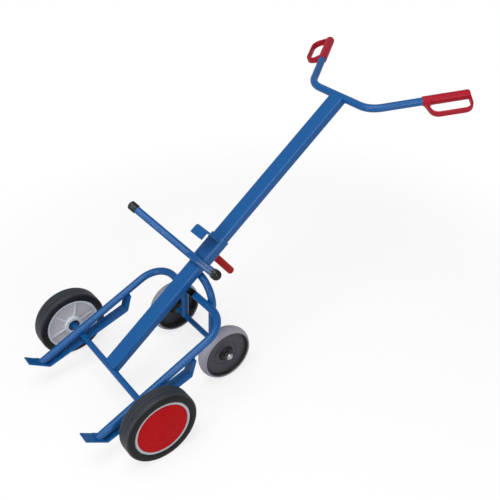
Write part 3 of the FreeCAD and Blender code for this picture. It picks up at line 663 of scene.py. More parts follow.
def trimmed(mesh, point, normal, behind=-9.0):
    """Cuts off what lies on the normal's side of a plane, behind a place along Y, and closes the cut."""
    work = bmesh.new()
    work.from_mesh(mesh)
    bmesh.ops.remove_doubles(work, verts=work.verts, dist=WELD)
    spots = [vert for vert in work.verts if vert.co.y > behind]
    chosen = set(spots)
    lines = [edge for edge in work.edges if chosen.issuperset(edge.verts)]
    sheets = [face for face in work.faces if chosen.issuperset(face.verts)]
    bmesh.ops.bisect_plane(work, geom=spots + lines + sheets, plane_co=point, plane_no=normal,
                           clear_outer=True)
    bmesh.ops.holes_fill(work, edges=[edge for edge in work.edges if edge.is_boundary], sides=0)
    work.to_mesh(mesh)
    work.free()
    return mesh


rails = trimmed(arch_tube(rail_end, cross_middle, rail_half, bend=0.087), toe_inside, -toe_face)
add_painted("rail_tube", rails, "frame", "lower_frame")

# %% [markdown]
# The bow is an arch whose legs stand on the support axle. Its top leans against the back of the beam and its
# legs touch the cross tube. The cradle is a shallow V across the front of the beam, where the drum leans.

# %% Bow and cradle
bow_half = 0.0875
bow_line = heading(QUARTER - math.radians(5.4))
back_face = beam_depth - beam_front
bow_rise = (on_beam(0, -(back_face + tube_r)) - support).dot(forward) / bow_line.dot(forward)
bow_top = support + bow_line * bow_rise
add_painted("bow_tube", arch_tube(support, bow_top, bow_half, bend=bow_half), "frame", "support_bow")

cradle_above_bow = 0.031
cradle_climb = (bow_top - axle).dot(along) + cradle_above_bow
cradle = SplayedBar(on_beam(cradle_climb, beam_front + tube_r), half=0.0317, lean=forward,
                    splay=math.radians(33.5), arm=0.270)
add_painted("cradle_tube", cradle.tube(bend=0.060), "frame", "drum_cradle")

# %% [markdown]
# ## Box tubes
# The beam, the sliding sleeve and the small spacer are rectangular tubes with rolled corners. Four corner
# arcs make one loop of points; loops at both ends, outside and inside, are joined by quads. Slightly smaller
# loops at the ends break the sharp edge, so that it catches the light.

# %% Box tube helper
box_edge = 0.0006


def ring_quads(rings, size, closes):
    """Quads between rings of points, one ring after the other; closes joins the last to the first."""
    faces = []
    for i in range(rings if closes else rings - 1):
        low = i * size
        high = (i + 1) % rings * size
        for k in range(size):
            follow = (k + 1) % size
            faces.append((low + k, low + follow, high + follow, high + k))
    return faces


def rounded_loop(width, depth, corner, steps=7):
    points = []
    for right, front, start in ((1, 1, 0), (-1, 1, 90), (-1, -1, 180), (1, -1, 270)):
        for step in range(steps + 1):
            angle = math.radians(start + 90 * step / steps)
            points.append((right * (width / 2 - corner) + corner * math.cos(angle),
                           front * (depth / 2 - corner) + corner * math.sin(angle)))
    return points


def box_tube(section, wall, low, high, centre, axis, side):
    """Hollow tube along the axis from low to high; the section is (width along the side, depth, corner)."""
    front = side.cross(axis)
    hollow = (section[0] - 2 * wall, section[1] - 2 * wall, section[2] - wall)
    loops = ((section, 0, low + box_edge), (section, 0, high - box_edge), (section, -box_edge, high),
             (hollow, box_edge, high), (hollow, 0, high - box_edge), (hollow, 0, low + box_edge),
             (hollow, box_edge, low), (section, -box_edge, low))
    points = []
    for (width, depth, corner), grow, place in loops:
        loop = rounded_loop(width + 2 * grow, depth + 2 * grow, max(corner + grow, box_edge))
        points += [centre + axis * place + side * u + front * v for u, v in loop]
    return mesh_from(points, ring_quads(len(loops), len(loop), closes=True))


# %% [markdown]
# The beam carries everything. The sleeve is a wider tube that slides on it with a millimetre of play. The
# spacer fills the gap between the beam's back and the cross tube. Powder hardly reaches into its bore, and the
# paint gets a mask there that turns it near-black: unpainted metal, darkened further as painted shade.

# %% Beam, spacer and sleeve
beam_w = 0.060
beam_corner = 0.005
beam_wall = 0.003
beam_foot = 0.009
beam_top = bar_climb - 0.007
beam_line = axle + forward * beam_middle
beam = box_tube((beam_w, beam_depth, beam_corner), beam_wall, beam_foot, beam_top, beam_line, along, across)
add_painted("beam_tube", beam, "frame", "main_beam")

slide_gap = 0.001
sleeve_wall = 0.004
sleeve_len = 0.0974
sleeve_rest_gap = 0.00035
sleeve_start = cradle_climb + tube_r + sleeve_rest_gap
sleeve_end = sleeve_start + sleeve_len
sleeve_section = (beam_w + 2 * (slide_gap + sleeve_wall), beam_depth + 2 * (slide_gap + sleeve_wall),
                  beam_corner + slide_gap + sleeve_wall)
sleeve = box_tube(sleeve_section, sleeve_wall, sleeve_start, sleeve_end, beam_line, along, across)
add_painted("sleeve_tube", sleeve, "hook", "hook_sleeve")

spacer_len = 0.054
spacer_w = 0.025
spacer_corner = 0.003
spacer_wall = 0.002
cross_climb = (cross_middle - axle).dot(along)
cross_behind = -(cross_middle - axle).dot(forward)
spacer_depth = cross_behind - tube_r - back_face
spacer_middle = on_beam(cross_climb, -(back_face + spacer_depth / 2))
spacer = box_tube((spacer_w, spacer_depth, spacer_corner), spacer_wall, -spacer_len / 2, spacer_len / 2,
                  spacer_middle, across, along)


def spacer_bore_shade(paint):
    """1 in the bore of the spacer, where the paint turns to near-black painted shade, 0 on its outside."""
    skin = 0.0004
    run = paint.axis("Y") - spacer_middle.y
    rise = paint.axis("Z") - spacer_middle.z
    outside = 0
    for line, size in ((along, spacer_w), (forward, spacer_depth)):
        reach = (run * line.y + rise * line.z).size()
        outside = outside + reach.fade(size / 2 - spacer_wall + skin, size / 2 - skin)
    return 1 - outside.fade(0, 1)


spacer_finish = blue_powder_coat("spacer_powder_coat", spacer_bore_shade)
add_piece("spacer_tube", spacer, spacer_finish, "frame", "frame_paint", "beam_spacer")

# %% [markdown]
# ## Bent plates
# The claws and the hook are flat bar, bent cold. The outer face is a poly line with rounded corners, the
# inner face is the same line moved by the plate's thickness, and each pair of points carries one
# cross-section.

# %% Plate helper
def offset_line(points, shift):
    """The poly line moved to its left by a distance, mitred at its corners."""
    moved = []
    for i, point in enumerate(points):
        before = (points[i] - points[i - 1]).normalized() if i else None
        after = (points[i + 1] - points[i]).normalized() if i + 1 < len(points) else None
        first = before or after
        second = after or before
        normal = Vector((-first.y - second.y, first.x + second.x)).normalized()
        moved.append(point + normal * shift / normal.dot(Vector((-first.y, first.x))))
    return moved


def bent_plate(corners, thick, width, origin, run, rise, side, edge=0.0008, tail=0.0, nose=None):
    """Corners are (u, v, outer bend radius) of the outer face; the plate lies to its left.

    A tail rounds the corners of the last end; a nose is (length, step) of a first end that is thinner.
    """
    bend_steps, tail_steps, least_bend = 8, 6, 0.0005
    outer = soften(corners, False, bend_steps)
    inner_line = offset_line([Vector(corner[:2]) for corner in corners], thick)
    inner_corners = [(*point, max(corner[2] - thick, least_bend)) for point, corner in zip(inner_line, corners)]
    inner = soften(inner_corners, False, bend_steps)
    pairs = [(a, b, width / 2) for a, b in zip(outer, inner)]
    if tail:
        (a0, b0, _), (a1, b1, _) = pairs[-2:]
        pairs.pop()
        for step in range(tail_steps + 1):
            angle = math.radians(90 * step / tail_steps)
            share = 1 - tail * (1 - math.sin(angle)) / (a1 - a0).length
            pairs.append((a0.lerp(a1, share), b0.lerp(b1, share), width / 2 - tail * (1 - math.cos(angle))))
    if nose:
        (a0, b0, half), (a1, b1, _) = pairs[:2]
        share = nose[0] / (a1 - a0).length
        thin = 1 - nose[1] / thick
        step = (a0.lerp(a1, share), b0.lerp(b1, share))
        pairs[0] = (a0, a0.lerp(b0, thin), half)
        pairs[1:1] = [(step[0], step[0].lerp(step[1], thin), half), (*step, half)]
    points = []
    for a, b, half in pairs:
        section = ((edge - half, 0), (half - edge, 0), (half, edge), (half, thick - edge),
                   (half - edge, thick), (edge - half, thick), (-half, thick - edge), (-half, edge))
        for u, t in section:
            spot = a.lerp(b, t / thick)
            points.append(origin + run * spot.x + rise * spot.y + side * u)
    size = len(section)
    ends = [tuple(range(size)), tuple(range(len(points) - size, len(points)))]
    return mesh_from(points, ring_quads(len(pairs), size, closes=False) + ends)


# %% [markdown]
# The lines of the claws are known already. The bar is bent along them, thinner towards the tip of the toe,
# where the drum's rim sits, and cut along the underside of the rail.

# %% Claws
claw_bend = 0.009
claw_cut = 0.15
toe_nose = (0.0445, 0.0015)
backward = Vector((0, 1, 0))
claw_corners = []
for spot, radius in ((toe, 0), (heel, claw_bend), (knee, claw_bend), (riser_top, 0)):
    claw_corners.append((spot.y - axle.y, spot.z - axle.z, radius))
for word, side in SIDES:
    plate = bent_plate(claw_corners, claw_t, claw_w, axle + across * side * rail_half, backward, upward,
                       across, nose=toe_nose)
    plate = trimmed(plate, rail_under, rail_up, behind=axle.y + claw_cut)
    add_painted(word + "_claw_plate", plate, "frame", word + "_claw")

# %% [markdown]
# The hook holds the upper rim of the drum. It is a plate that stands on the sleeve and turns down to a lip,
# and the lip's corners are rounded off.

# %% Hook
hook_t = 0.006
hook_w = 0.064
hook_bend = 0.012
hook_sunk = 0.001
hook_top = sleeve_end - 0.015
hook_reach = beam_front + 0.083
lip_len = 0.037
lip_corner = 0.003
sleeve_face = beam_front + slide_gap + sleeve_wall
hook_corners = [(hook_top, sleeve_face - hook_sunk, 0), (hook_top, hook_reach, hook_bend),
                (hook_top - lip_len, hook_reach, 0)]
hook = bent_plate(hook_corners, hook_t, hook_w, axle, along, forward, across, tail=lip_corner)
add_painted("hook_plate", hook, "hook", "drum_hook")

# %% [markdown]
# ## Turned pieces
# Wheels, axles, caps and nuts are bodies of revolution, so they are an outline spun round an axis. Each
# corner of an outline is (along the axle, radius, rounding): small rounding on a machined shoulder, large
# on a tyre.

# %% Large wheels
wheel_r = 0.125
wheel_half = 0.030
rim_r = 0.098
seat_r = 0.094
seat_half = 0.0229
cap_r = 0.0892
groove_w = 0.0016
groove_depth = 0.0012
groove_round = 0.0003
groove_count = 3
shoulder = 0.015


def mirrored(corners):
    """The corners on the other side of the middle, in the order that carries an outline on."""
    return [(-u, v, radius) for u, v, radius in reversed(corners)]


def tyre_outline():
    flank = [(seat_half, seat_r, 0), (seat_half, rim_r, 0), (wheel_half - 0.001, rim_r + 0.0006, 0.001),
             (wheel_half, rim_r + 0.004, 0.004), (wheel_half, wheel_r, shoulder)]
    tread = wheel_half - shoulder
    grooves = []
    for number in range(groove_count):
        middle = tread - 2 * tread / (groove_count + 1) * (number + 1)
        for offset, depth in ((1, 0), (0.5, 1), (-0.5, 1), (-1, 0)):
            grooves.append((middle + offset * groove_w / 2, wheel_r - depth * groove_depth, groove_round))
    return flank + grooves + mirrored(flank)


hub_r = 0.033
hub_bore = 0.021
hub_inner = 0.0335
hub_outer = 0.0165
rim_half = 0.026
lip_w = 0.003
web_off = -0.020
web_face = web_off + 0.006
rim_corners = [
    (-hub_inner, hub_bore, 0.0005), (hub_outer, hub_bore, 0.0005), (hub_outer, hub_r, 0.002),
    (web_face, hub_r, 0.003), (web_face, cap_r, 0.003), (rim_half, cap_r, 0.0008),
    (rim_half, rim_r, 0.001), (rim_half - lip_w, rim_r, 0.0005), (rim_half - lip_w, seat_r, 0.0005),
    (lip_w - rim_half, seat_r, 0.0005), (lip_w - rim_half, rim_r, 0.0005), (-rim_half, rim_r, 0.0012),
    (-rim_half, 0.090, 0.0012), (web_off, 0.0885, 0.002), (web_off, hub_r, 0.003), (-hub_inner, hub_r, 0.0015),
]
skirt_end = 0.0155
skirt_out = cap_r - 0.0002
skirt_in = cap_r - 0.0022
cap_corners = [
    (0.030, 0, 0), (0.030, 0.0261, 0.001), (0.0293, 0.0296, 0.002), (0.02825, 0.0539, 0.001),
    (0.02755, 0.0574, 0.002), (0.0265, cap_r - 0.0023, 0.0015), (0.0258, skirt_out, 0.001),
    (skirt_end, skirt_out, 0.0004), (skirt_end, skirt_in, 0.0004), (0.0221, skirt_in, 0.001),
    (0.02535, 0.0539, 0), (0.0271, 0.0261, 0), (0.0271, 0, 0),
]
print("corners: tyre", len(tyre_outline()), "rim", len(rim_corners), "cap", len(cap_corners))

# %% [markdown]
# The rim's inner face has stiffening ribs like spokes. One rib is drawn once and a second Geometry Nodes tree
# copies it round the axle, so the number of ribs is a single input.

# %% Rib recipe
def make_rib_recipe():
    recipe = Recipe("spoke_ribs", Count="Int", Start="Float", Centre="Vector")
    values = {"Count": recipe.given("Count"), "Offset": (0, 0, 0)}
    spots = recipe.node("GeometryNodeMeshLine", None, values)
    index = recipe.node("GeometryNodeInputIndex")
    turn = index * (math.tau / recipe.given("Count")) + recipe.given("Start")
    spin = recipe.node("ShaderNodeCombineXYZ", None, {"X": turn})
    values = {"Points": spots, "Instance": recipe.given("Geometry"), "Rotation": spin}
    copies = recipe.node("GeometryNodeInstanceOnPoints", None, values)
    values = {"Geometry": copies, "Translation": recipe.given("Centre")}
    recipe.close(recipe.node("GeometryNodeTransform", None, values))
    return recipe


rib_recipe = make_rib_recipe()
rib_count = 6
rib_start = math.radians(42)
rib_half = 0.0036
rib_sunk = 0.001
rib_ends = ((hub_r - rib_sunk, 0.0070), (0.0895, 0.0030))


def rib_mesh(side):
    """One rib between hub and rim, standing up from the web, thinner at its crest."""
    points = []
    for crest, spread in ((0, 1.2), (1, 0.7)):
        for radius, height in rib_ends:
            x = side * (web_off + rib_sunk - crest * (height + rib_sunk))
            points += [(x, edge * rib_half * spread, radius) for edge in (-1, 1)]
    faces = [(0, 1, 3, 2), (4, 6, 7, 5), (0, 4, 5, 1), (2, 3, 7, 6), (0, 2, 6, 4), (1, 5, 7, 3)]
    return mesh_from(points, faces)


for word, side in SIDES:
    middle = axle + across * side * wheel_x
    body = word + "_wheel"
    tyre = lathe(tyre_outline(), middle, across * side, turns=160)
    add_piece(word + "_tyre_rubber", tyre, tyre_finish, body, "tyre_black", word + "_tyre")
    ribs = rib_recipe.grow(rib_mesh(side), Count=rib_count, Start=rib_start, Centre=middle, Material=rim_finish)
    rim = joined(lathe(rim_corners, middle, across * side, turns=128), ribs)
    add_piece(word + "_rim_moulding", rim, rim_finish, body, "rim_silver", word + "_rim")
    cap = lathe(cap_corners, middle, across * side, closed=False, turns=128)
    add_piece(word + "_cap_disc", cap, cap_finish, body, "cap_red", word + "_hub_cap")

# %% [markdown]
# The support wheels have a crowned tread, so that part of the outline follows a parabola instead of a few
# corners. Their hub is a dished web with a raised ring, and its seat is the same on both sides.

# %% Support wheels
support_half = 0.025
support_r = 0.100
crown = 0.009
crown_steps = 24
support_flank = [(0.0194, 0.08305, 0), (0.0194, 0.08755, 0), (0.0235, 0.0877, 0.001),
                 (support_half, 0.0895, 0.001)]
support_tread = []
for step in range(crown_steps + 1):
    u = support_half * (1 - step / (crown_steps / 2))
    support_tread.append((u, support_r - crown * (u / support_half) ** 2, 0.0008))
support_corners = support_flank + support_tread + mirrored(support_flank)
hub_seat = [(0.0225, 0.083, 0.001), (0.0225, 0.0875, 0.0012), (0.0195, 0.0875, 0.0005), (0.0195, 0.083, 0.0005)]
hub_front = [
    (-0.025, 0.011, 0.0005), (0.021, 0.011, 0.0005), (0.021, 0.023, 0.0015), (0.011, 0.029, 0.002),
    (0.011, 0.042, 0.0005), (0.0128, 0.043, 0.0006), (0.0128, 0.046, 0.0006), (0.011, 0.047, 0.0005),
    (0.011, 0.080, 0.003),
]
hub_back = [(0.005, 0.080, 0.003), (0.005, 0.029, 0.002), (-0.025, 0.023, 0.0015)]
hub_corners = hub_front + hub_seat + mirrored(hub_seat) + hub_back
for word, side in SIDES:
    middle = support + across * side * support_x
    body = word + "_support_wheel"
    name = word + "_support_"
    tyre = lathe(support_corners, middle, across * side, turns=144)
    add_piece(name + "rubber", tyre, support_tyre_finish, body, "support_grey", name + "tyre")
    hub = lathe(hub_corners, middle, across * side, turns=128)
    add_piece(name + "moulding", hub, hub_finish, body, "hub_charcoal", name + "hub")

# %% [markdown]
# The axles are stepped bars: full thickness under the frame, a thinner spindle under each wheel. Both go in
# as one outline from end to end.

# %% Axles
def stepped_bar(middle, radius, step, spindle, end):
    right = [(step, radius, 0.0008), (step, spindle, 0.0004), (end, spindle, 0.001), (end, 0, 0)]
    return lathe(mirrored(right) + right, middle, across, closed=False, turns=64)


axle_bar = stepped_bar(axle, axle_r, step=wheel_x - 0.03635, spindle=0.010, end=wheel_x + 0.02335)
add_painted("axle_bar", axle_bar, "frame", "main_axle")
axle_bar = stepped_bar(support, 0.010, step=support_x - 0.02785, spindle=0.008, end=support_x + 0.03485)
add_painted("support_axle_bar", axle_bar, "frame", "support_axle")

# %% [markdown]
# A domed nut is a hexagon whose corners are turned off by a cone, with a dome on top. Its radius at any angle
# is the smaller of the flats and the cone, so each ring of points simply takes that smaller value.

# %% Domed nuts
nut_flat = 0.012
nut_face = support_x + 0.0239
nut_len = 0.011
nut_dome = 0.006
nut_bore = 0.00805
nut_turns = 96
dome_steps = 8
dome_tip = 0.00002


def nut_radius(angle, limit):
    sector = math.tau / 6
    return min(nut_flat / math.cos((angle + sector / 2) % sector - sector / 2), limit)


def domed_nut(side):
    full = nut_flat / math.cos(math.pi / 6)
    rings = [(0, nut_bore), (0, nut_flat * 0.97), (0.0008, full), (nut_len - 0.0012, full),
             (nut_len, nut_flat * 0.95)]
    for step in range(1, dome_steps + 1):
        angle = math.radians(90 * step / dome_steps)
        rings.append((nut_len + nut_dome * math.sin(angle), nut_flat * 0.93 * math.cos(angle)))
    points = []
    for u, limit in rings:
        for angle in full_turn(nut_turns):
            radius = nut_radius(angle, max(limit, dome_tip))
            points.append(support + across * side * (nut_face + u) + heading(angle) * radius)
    top = tuple(range(len(points) - nut_turns, len(points)))
    return mesh_from(points, ring_quads(len(rings), nut_turns, closes=False) + [top])


nuts = joined(domed_nut(-1), domed_nut(1))
add_piece("domed_nuts", nuts, nut_finish, "frame", "nut_chrome", "support_nuts")

# %% [markdown]
# The cradle's ends wear slip-on caps with a full, rounded nose. The pull rod and its red grip stand square on
# the back of the sleeve.

# %% Cradle caps and pull grip
fit = 0.00005
cap_out = tube_r + 0.003
cap_skirt = -0.027
cap_floor = 0.0005
cap_dome = 0.007
nose_steps = 8
dome_r = (cap_out ** 2 + cap_dome ** 2) / (2 * cap_dome)
end_cap_corners = [(cap_floor, 0, 0), (cap_floor, tube_r + fit, 0), (cap_skirt, tube_r + fit, 0.0003),
                   (cap_skirt, cap_out, 0.0008), (0, cap_out, 0.004)]
for step in range(1, nose_steps + 1):
    radius = cap_out * (1 - step / nose_steps)
    end_cap_corners.append((math.sqrt(dome_r ** 2 - radius ** 2) - dome_r + cap_dome, radius, 0))
for word, side in SIDES:
    cap = lathe(end_cap_corners, cradle.tip(side), cradle.heading(side), closed=False, turns=72)
    add_piece(word + "_cradle_end_cap", cap, end_cap_finish, "frame", "cap_black", word + "_cradle_cap")

pull_root = on_beam(sleeve_start + 0.0364, -(back_face + slide_gap + sleeve_wall))
pull_start = 0.016
pull_len = 0.134
pull_r = 0.0135
rod_r = 0.006
rod_len = pull_len - 0.008
rod_corners = [(0, 0, 0), (0, rod_r, 0), (rod_len, rod_r, 0.001), (rod_len, 0, 0)]
rod = lathe(rod_corners, pull_root, -forward, closed=False, turns=48)
add_painted("pull_rod_bar", rod, "hook", "pull_rod")
pull_corners = [(pull_start, rod_r + fit, 0), (pull_start, pull_r, 0.003), (pull_len, pull_r, 0.005),
                (pull_len, 0, 0)]
pull = lathe(pull_corners, pull_root, -forward, closed=False, turns=64)
add_piece("pull_grip_moulding", pull, pull_finish, "hook", "pull_red", "pull_grip")

# %% [markdown]
# ## Safety grips
# A safety grip is one moulding: a sleeve over the tube and a knuckle guard that runs from its front end to
# its back end. Sleeve and guard are drawn apart, melted into one skin by a voxel remesh, and smoothed, which
# leaves the soft fillets of a real moulding where they meet.

# %% Grips
grip_len = 0.158
grip_r = 0.0165
grip_cover = 0.004
grip_start = grip_cover - grip_len
grip_end = grip_cover - 0.0004
grip_corners = [(grip_start, 0, 0), (grip_start, grip_r, 0.002), (grip_end, grip_r, 0.007), (grip_end, 0, 0)]
guard_root = -0.006
guard_reach = -0.071
guard_t = 0.008
guard_w = 0.024
guard_edge = 0.003
guard_slope = 0.022
guard_roll = math.radians(15)
guard_corners = [(grip_start, guard_root, 0), (grip_start + guard_slope, guard_reach, 0.034),
                 (grip_end, guard_reach, 0.029), (grip_end, guard_root, 0)]
gusset_half = 0.45
gusset_corners = ((0.008, 0.012), (0.027, 0.0145), (0.0175, 0.034))
gusset_faces = [(0, 1, 2), (3, 5, 4), (0, 3, 4, 1), (1, 4, 5, 2), (2, 5, 3, 0)]


def add_melt(modifiers):
    remesh = modifiers.new("melt", "REMESH")
    remesh.mode = "VOXEL"
    remesh.voxel_size = 0.0011
    smooth = modifiers.new("polish", "SMOOTH")
    smooth.factor = 0.5
    smooth.iterations = 6


def gusset_block(tip, run, out, width):
    """Fills the sharp corner where the guard leaves the sleeve's front end."""
    points = []
    for edge in (-gusset_half, gusset_half):
        for u, v in gusset_corners:
            points.append(tip + run * (grip_start + u) + out * v + width * guard_w * edge)
    return mesh_from(points, gusset_faces)


for word, side in SIDES:
    tip = handlebar.tip(side)
    run = handlebar.heading(side)
    inward = bar_up.cross(run) * side
    out = -(inward * math.cos(guard_roll) + bar_up * math.sin(guard_roll))
    width = run.cross(out)
    core = lathe(grip_corners, tip, run, closed=False, turns=72)
    guard = bent_plate(guard_corners, guard_t, guard_w, tip, run, -out, width, guard_edge)
    gusset = gusset_block(tip, run, out, width)
    grip = worked(joined(tidy(core), tidy(guard), tidy(gusset)), add_melt)
    add_piece(word + "_hand_grip", grip, grip_finish, "frame", "grip_crimson", word + "_grip")

# %% [markdown]
# ## Weld beads
# Pieces of the frame only touch in CAD; on the real trolley a painted weld bead joins them. A bead follows a
# path and swells and shrinks with each ripple of the weld pool, so a third Geometry Nodes tree resamples the
# path and lets the sine of the length, with a little noise, set the bead's thickness.

# %% Bead recipe
def make_bead_recipe():
    recipe = Recipe("weld_bead", Radius="Float", Ripple="Float", Seed="Float")
    values = {"Curve": recipe.given("Geometry"), "Length": recipe.given("Ripple") / 5}
    path = recipe.node("GeometryNodeResampleCurve", {"mode": "LENGTH"}, values)
    length = recipe.node("GeometryNodeSplineParameter", out="Length")
    ripple = (length / recipe.given("Ripple") * math.tau).sine() * 0.07
    values = {"W": recipe.given("Seed") + length * 90, "Scale": 1.0, "Detail": 1.0}
    wander = recipe.node("ShaderNodeTexNoise", {"noise_dimensions": "1D"}, values) * 0.16
    values = {"Resolution": 10, "Radius": recipe.given("Radius")}
    ring = recipe.node("GeometryNodeCurvePrimitiveCircle", None, values, "Curve")
    values = {"Curve": path, "Profile Curve": ring, "Scale": 0.85 + ripple + wander, "Fill Caps": True}
    recipe.close(recipe.node("GeometryNodeCurveToMesh", None, values))
    return recipe


bead_recipe = make_bead_recipe()
bead_r = 0.0020
bead_ripple = 0.0034
bead_gap = 0.0036
bead_steps = 36
print("bead recipe", len(bead_recipe.tree.nodes), "nodes")


def bar_bead(middle, direction, length):
    return ([middle - direction * length / 2, middle + direction * length / 2], False)


def ring_bead(centre, first, second):
    angles = full_turn(bead_steps)
    return ([centre + first * math.cos(angle) + second * math.sin(angle) for angle in angles], True)


def saddle_bead(contact, line, radius, other, other_radius):
    """Ring round the contact of two crossed bars; line runs along the lower bar."""
    lift = line.cross(other).normalized()
    if lift.dot(upward) < 0:
        lift = -lift
    spots = []
    for angle in full_turn(bead_steps):
        u = math.sqrt(2 * other_radius * bead_gap) * math.cos(angle)
        v = math.sqrt(2 * radius * bead_gap) * math.sin(angle)
        height = (u * u / other_radius - v * v / radius) / 4
        spots.append(contact + line * u + other * v + lift * height)
    return (spots, True)


def flank_beads(contact, line, flat_normal, radius, length):
    """Two beads in the corners between a bar along the line and the flat that it lies on."""
    reach = 2 * math.sqrt(radius * bead_r * 0.8)
    away = line.cross(flat_normal)
    lift = flat_normal * bead_r * 0.5
    return [bar_bead(contact + away * reach * turn + lift, line, length) for turn in (-1, 1)]


# %% [markdown]
# Where two round bars cross, the bead runs round their contact like a saddle. Where a bar lies on a flat, two
# straight beads fill the corners beside it. Where a tube ends on a plate, the bead is a ring.

# %% Beads of the frame
frame_beads = []
mitre = rail_line + rail_run * ((toe_inside - rail_line).dot(toe_face) / rail_run.dot(toe_face))
mitre_reach = tube_r / math.sin(rail_tilt + toe_rise)
leg = bow_line * ((cross_middle - support).dot(upward) / bow_line.z)
leg_contact = (cross_middle + support + leg) / 2
foot_rise = 0.0095
for word, side in SIDES:
    rail_shift = across * side * rail_half
    bow_shift = across * side * bow_half
    frame_beads.append(saddle_bead(axle + rail_shift + rail_up * axle_r, across, axle_r, rail_run, tube_r))
    frame_beads += flank_beads(axle + rail_shift - strap_up * axle_r, across, strap_up, axle_r, claw_w * 0.9)
    frame_beads.append(ring_bead(mitre + rail_shift, across * tube_r, heading(-toe_rise) * mitre_reach))
    for face in (0.0, claw_t):
        corner = riser_top + heading(riser_tilt + QUARTER) * face
        frame_beads.append(bar_bead(corner + rail_shift, across, 0.020))
    frame_beads.append(saddle_bead(leg_contact + bow_shift, across, tube_r, bow_line, tube_r))
    foot = support + bow_shift + bow_line * foot_rise
    frame_beads.append(ring_bead(foot, across * tube_r, backward * tube_r * 0.9))
frame_beads.append(bar_bead(on_beam(beam_foot, 0.0135), across, beam_w * 0.9))
for turn in (-1, 1):
    top = on_beam(bar_climb - 0.0075, beam_middle + turn * 0.0142)
    frame_beads.append(bar_bead(top, across, beam_w * 0.92))
    edge = on_beam(cross_climb + turn * spacer_w / 2, -back_face)
    frame_beads.append(bar_bead(edge, across, spacer_len * 0.9))
frame_beads += flank_beads(on_beam(cradle_climb, beam_front), across, forward, tube_r, beam_w * 0.85)
frame_beads += flank_beads(bow_top + forward * tube_r, across, -forward, tube_r, 0.045)
beads = bead_recipe.grow(routes(*frame_beads), Radius=bead_r, Ripple=bead_ripple, Seed=3.0,
                         Material=paint_finish)
add_painted("frame_welds", beads, "frame")

# %% [markdown]
# The hook rides with its sleeve, so its beads are a piece of their own on the hook's body.

# %% Beads of the hook
hook_bead_r = 0.0019
rod_bead = 0.0066
hook_beads = []
for climb in (hook_top, hook_top - hook_t):
    hook_beads.append(bar_bead(on_beam(climb, sleeve_face), across, hook_w * 0.94))
hook_beads.append(ring_bead(pull_root, across * rod_bead, along * rod_bead))
beads = bead_recipe.grow(routes(*hook_beads), Radius=hook_bead_r, Ripple=bead_ripple, Seed=8.0,
                         Material=paint_finish)
add_painted("hook_welds", beads, "hook")

# %% [markdown]
# ## Small hidden pieces
# Bushes, washers and retainers keep their CAD shape, because a turned ring needs no more. They only get their
# finish.

# %% Finishes of the kept nodes
kept = {"axle_washers": paint_finish, "axle_retainers": zinc_finish, "support_washers": zinc_finish}
for word, side in SIDES:
    for end in ("_inner_bush", "_outer_bush", "_support_bushes"):
        kept[word + end] = end_cap_finish
for node, finish in kept.items():
    materials = frame["nodes"][node].data.materials
    materials.clear()
    materials.append(finish)
print("kept nodes", len(kept))

# %% [markdown]
# ## Stage, light and camera
# The photograph was cut out on white, so the floor is pale and mostly gives its own white to the camera while
# it still takes the shadow. One large lamp hangs above, two smaller ones draw the streaks along the tubes,
# and the camera looks from the front right, from above.

# %% Floor and world
WHITE = (1, 1, 1, 1)
floor_half = 9.0


def white_floor():
    floor = Finish("white_floor", Roughness=0.9, Specular_IOR_Level=0.1)
    haze = floor.noise(scale=2, detail=1)
    floor.wear(floor.blend((0.86, 0.86, 0.86), (0.88, 0.88, 0.88), haze))
    glow = floor.node("ShaderNodeEmission", None, {"Color": WHITE, "Strength": 1.0})
    far = (floor.axis("X") ** 2 + floor.axis("Y") ** 2).fade(0.6, 2.6)
    seen = floor.ray("Camera") * (0.78 + far * 0.22) + floor.ray("Glossy") * 0.20
    shader = Knob(floor, floor.shader.outputs[0])
    mixed = floor.node("ShaderNodeMixShader", None, [seen, shader, glow])
    output = floor.tree.nodes["Material Output"]
    floor.tree.links.new(mixed.socket, output.inputs["Surface"])
    return floor.material


floor_points = [(x * floor_half, y * floor_half, 0) for x, y in ((-1, -1), (1, -1), (1, 1), (-1, 1))]
floor_mesh = mesh_from(floor_points, [(0, 1, 2, 3)])
floor_mesh.materials.append(white_floor())
floor_piece = bpy.data.objects.new("studio_floor", floor_mesh)
scene.collection.objects.link(floor_piece)

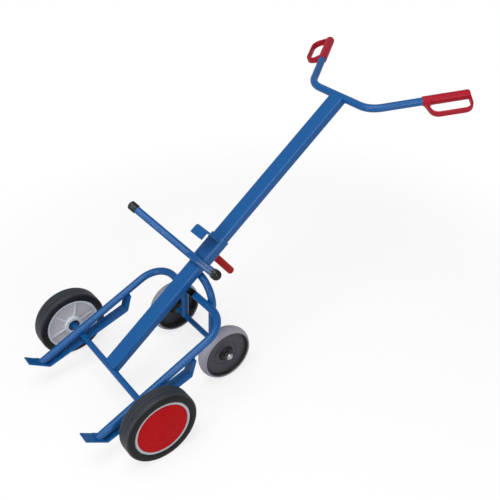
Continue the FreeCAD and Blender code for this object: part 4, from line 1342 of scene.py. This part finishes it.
world = bpy.data.worlds.new("studio")
world.use_nodes = True
scene.world = world
sky = Graph(world.node_tree)
strength = 0.40 + sky.ray("Camera") * 0.60 + sky.ray("Glossy") * 0.10
backdrop = sky.tree.nodes["Background"]
backdrop.inputs["Color"].default_value = WHITE
sky.tree.links.new(strength.socket, backdrop.inputs["Strength"])

# %% [markdown]
# Area lamps give soft light. A helper makes a square one and turns it to a point near the trolley's middle.

# %% Lamps
lamp_aim = Vector((0, 0, 0.35))


def soft_lamp(name, place, size, watts):
    lamp = bpy.data.lights.new(name, "AREA")
    lamp.shape = "SQUARE"
    lamp.size = size
    lamp.energy = watts
    holder = bpy.data.objects.new(name, lamp)
    holder.location = place
    holder.rotation_euler = (lamp_aim - Vector(place)).to_track_quat("-Z", "Y").to_euler()
    scene.collection.objects.link(holder)
    print(name, watts, "W at", place)


soft_lamp("top_lamp", (0.4, -1.0, 3.6), size=2.4, watts=80)
soft_lamp("side_lamp", (3.3, -0.8, 1.7), size=1.0, watts=32)
soft_lamp("front_lamp", (0.6, -3.6, 1.5), size=0.5, watts=28)

# %% [markdown]
# The camera's place, turn and focal length were fitted once to the wheels and tubes of the photograph. The
# turn is the compass angle round the trolley, the height is the angle above the floor.

# %% Camera
camera_place = axle + Vector((1.70956, -0.61401, 1.74796))
camera_turn = math.radians(54.62)
camera_height = math.radians(36.36)
camera_roll = math.radians(-3.1)
right_hand = Vector((math.cos(camera_turn), math.sin(camera_turn), 0))
back = Vector((math.sin(camera_turn) * math.cos(camera_height),
               -math.cos(camera_turn) * math.cos(camera_height), math.sin(camera_height)))
top = back.cross(right_hand)
level = Matrix((right_hand, top, back)).transposed().to_4x4()
lens = bpy.data.cameras.new("camera")
lens.lens = 52.31
lens.sensor_width = 36
camera = bpy.data.objects.new("camera", lens)
camera.matrix_world = Matrix.Translation(camera_place) @ level @ Matrix.Rotation(camera_roll, 4, "Z")
scene.collection.objects.link(camera)
scene.camera = camera
scene.view_settings.view_transform = "Standard"
print("camera at", camera_place)
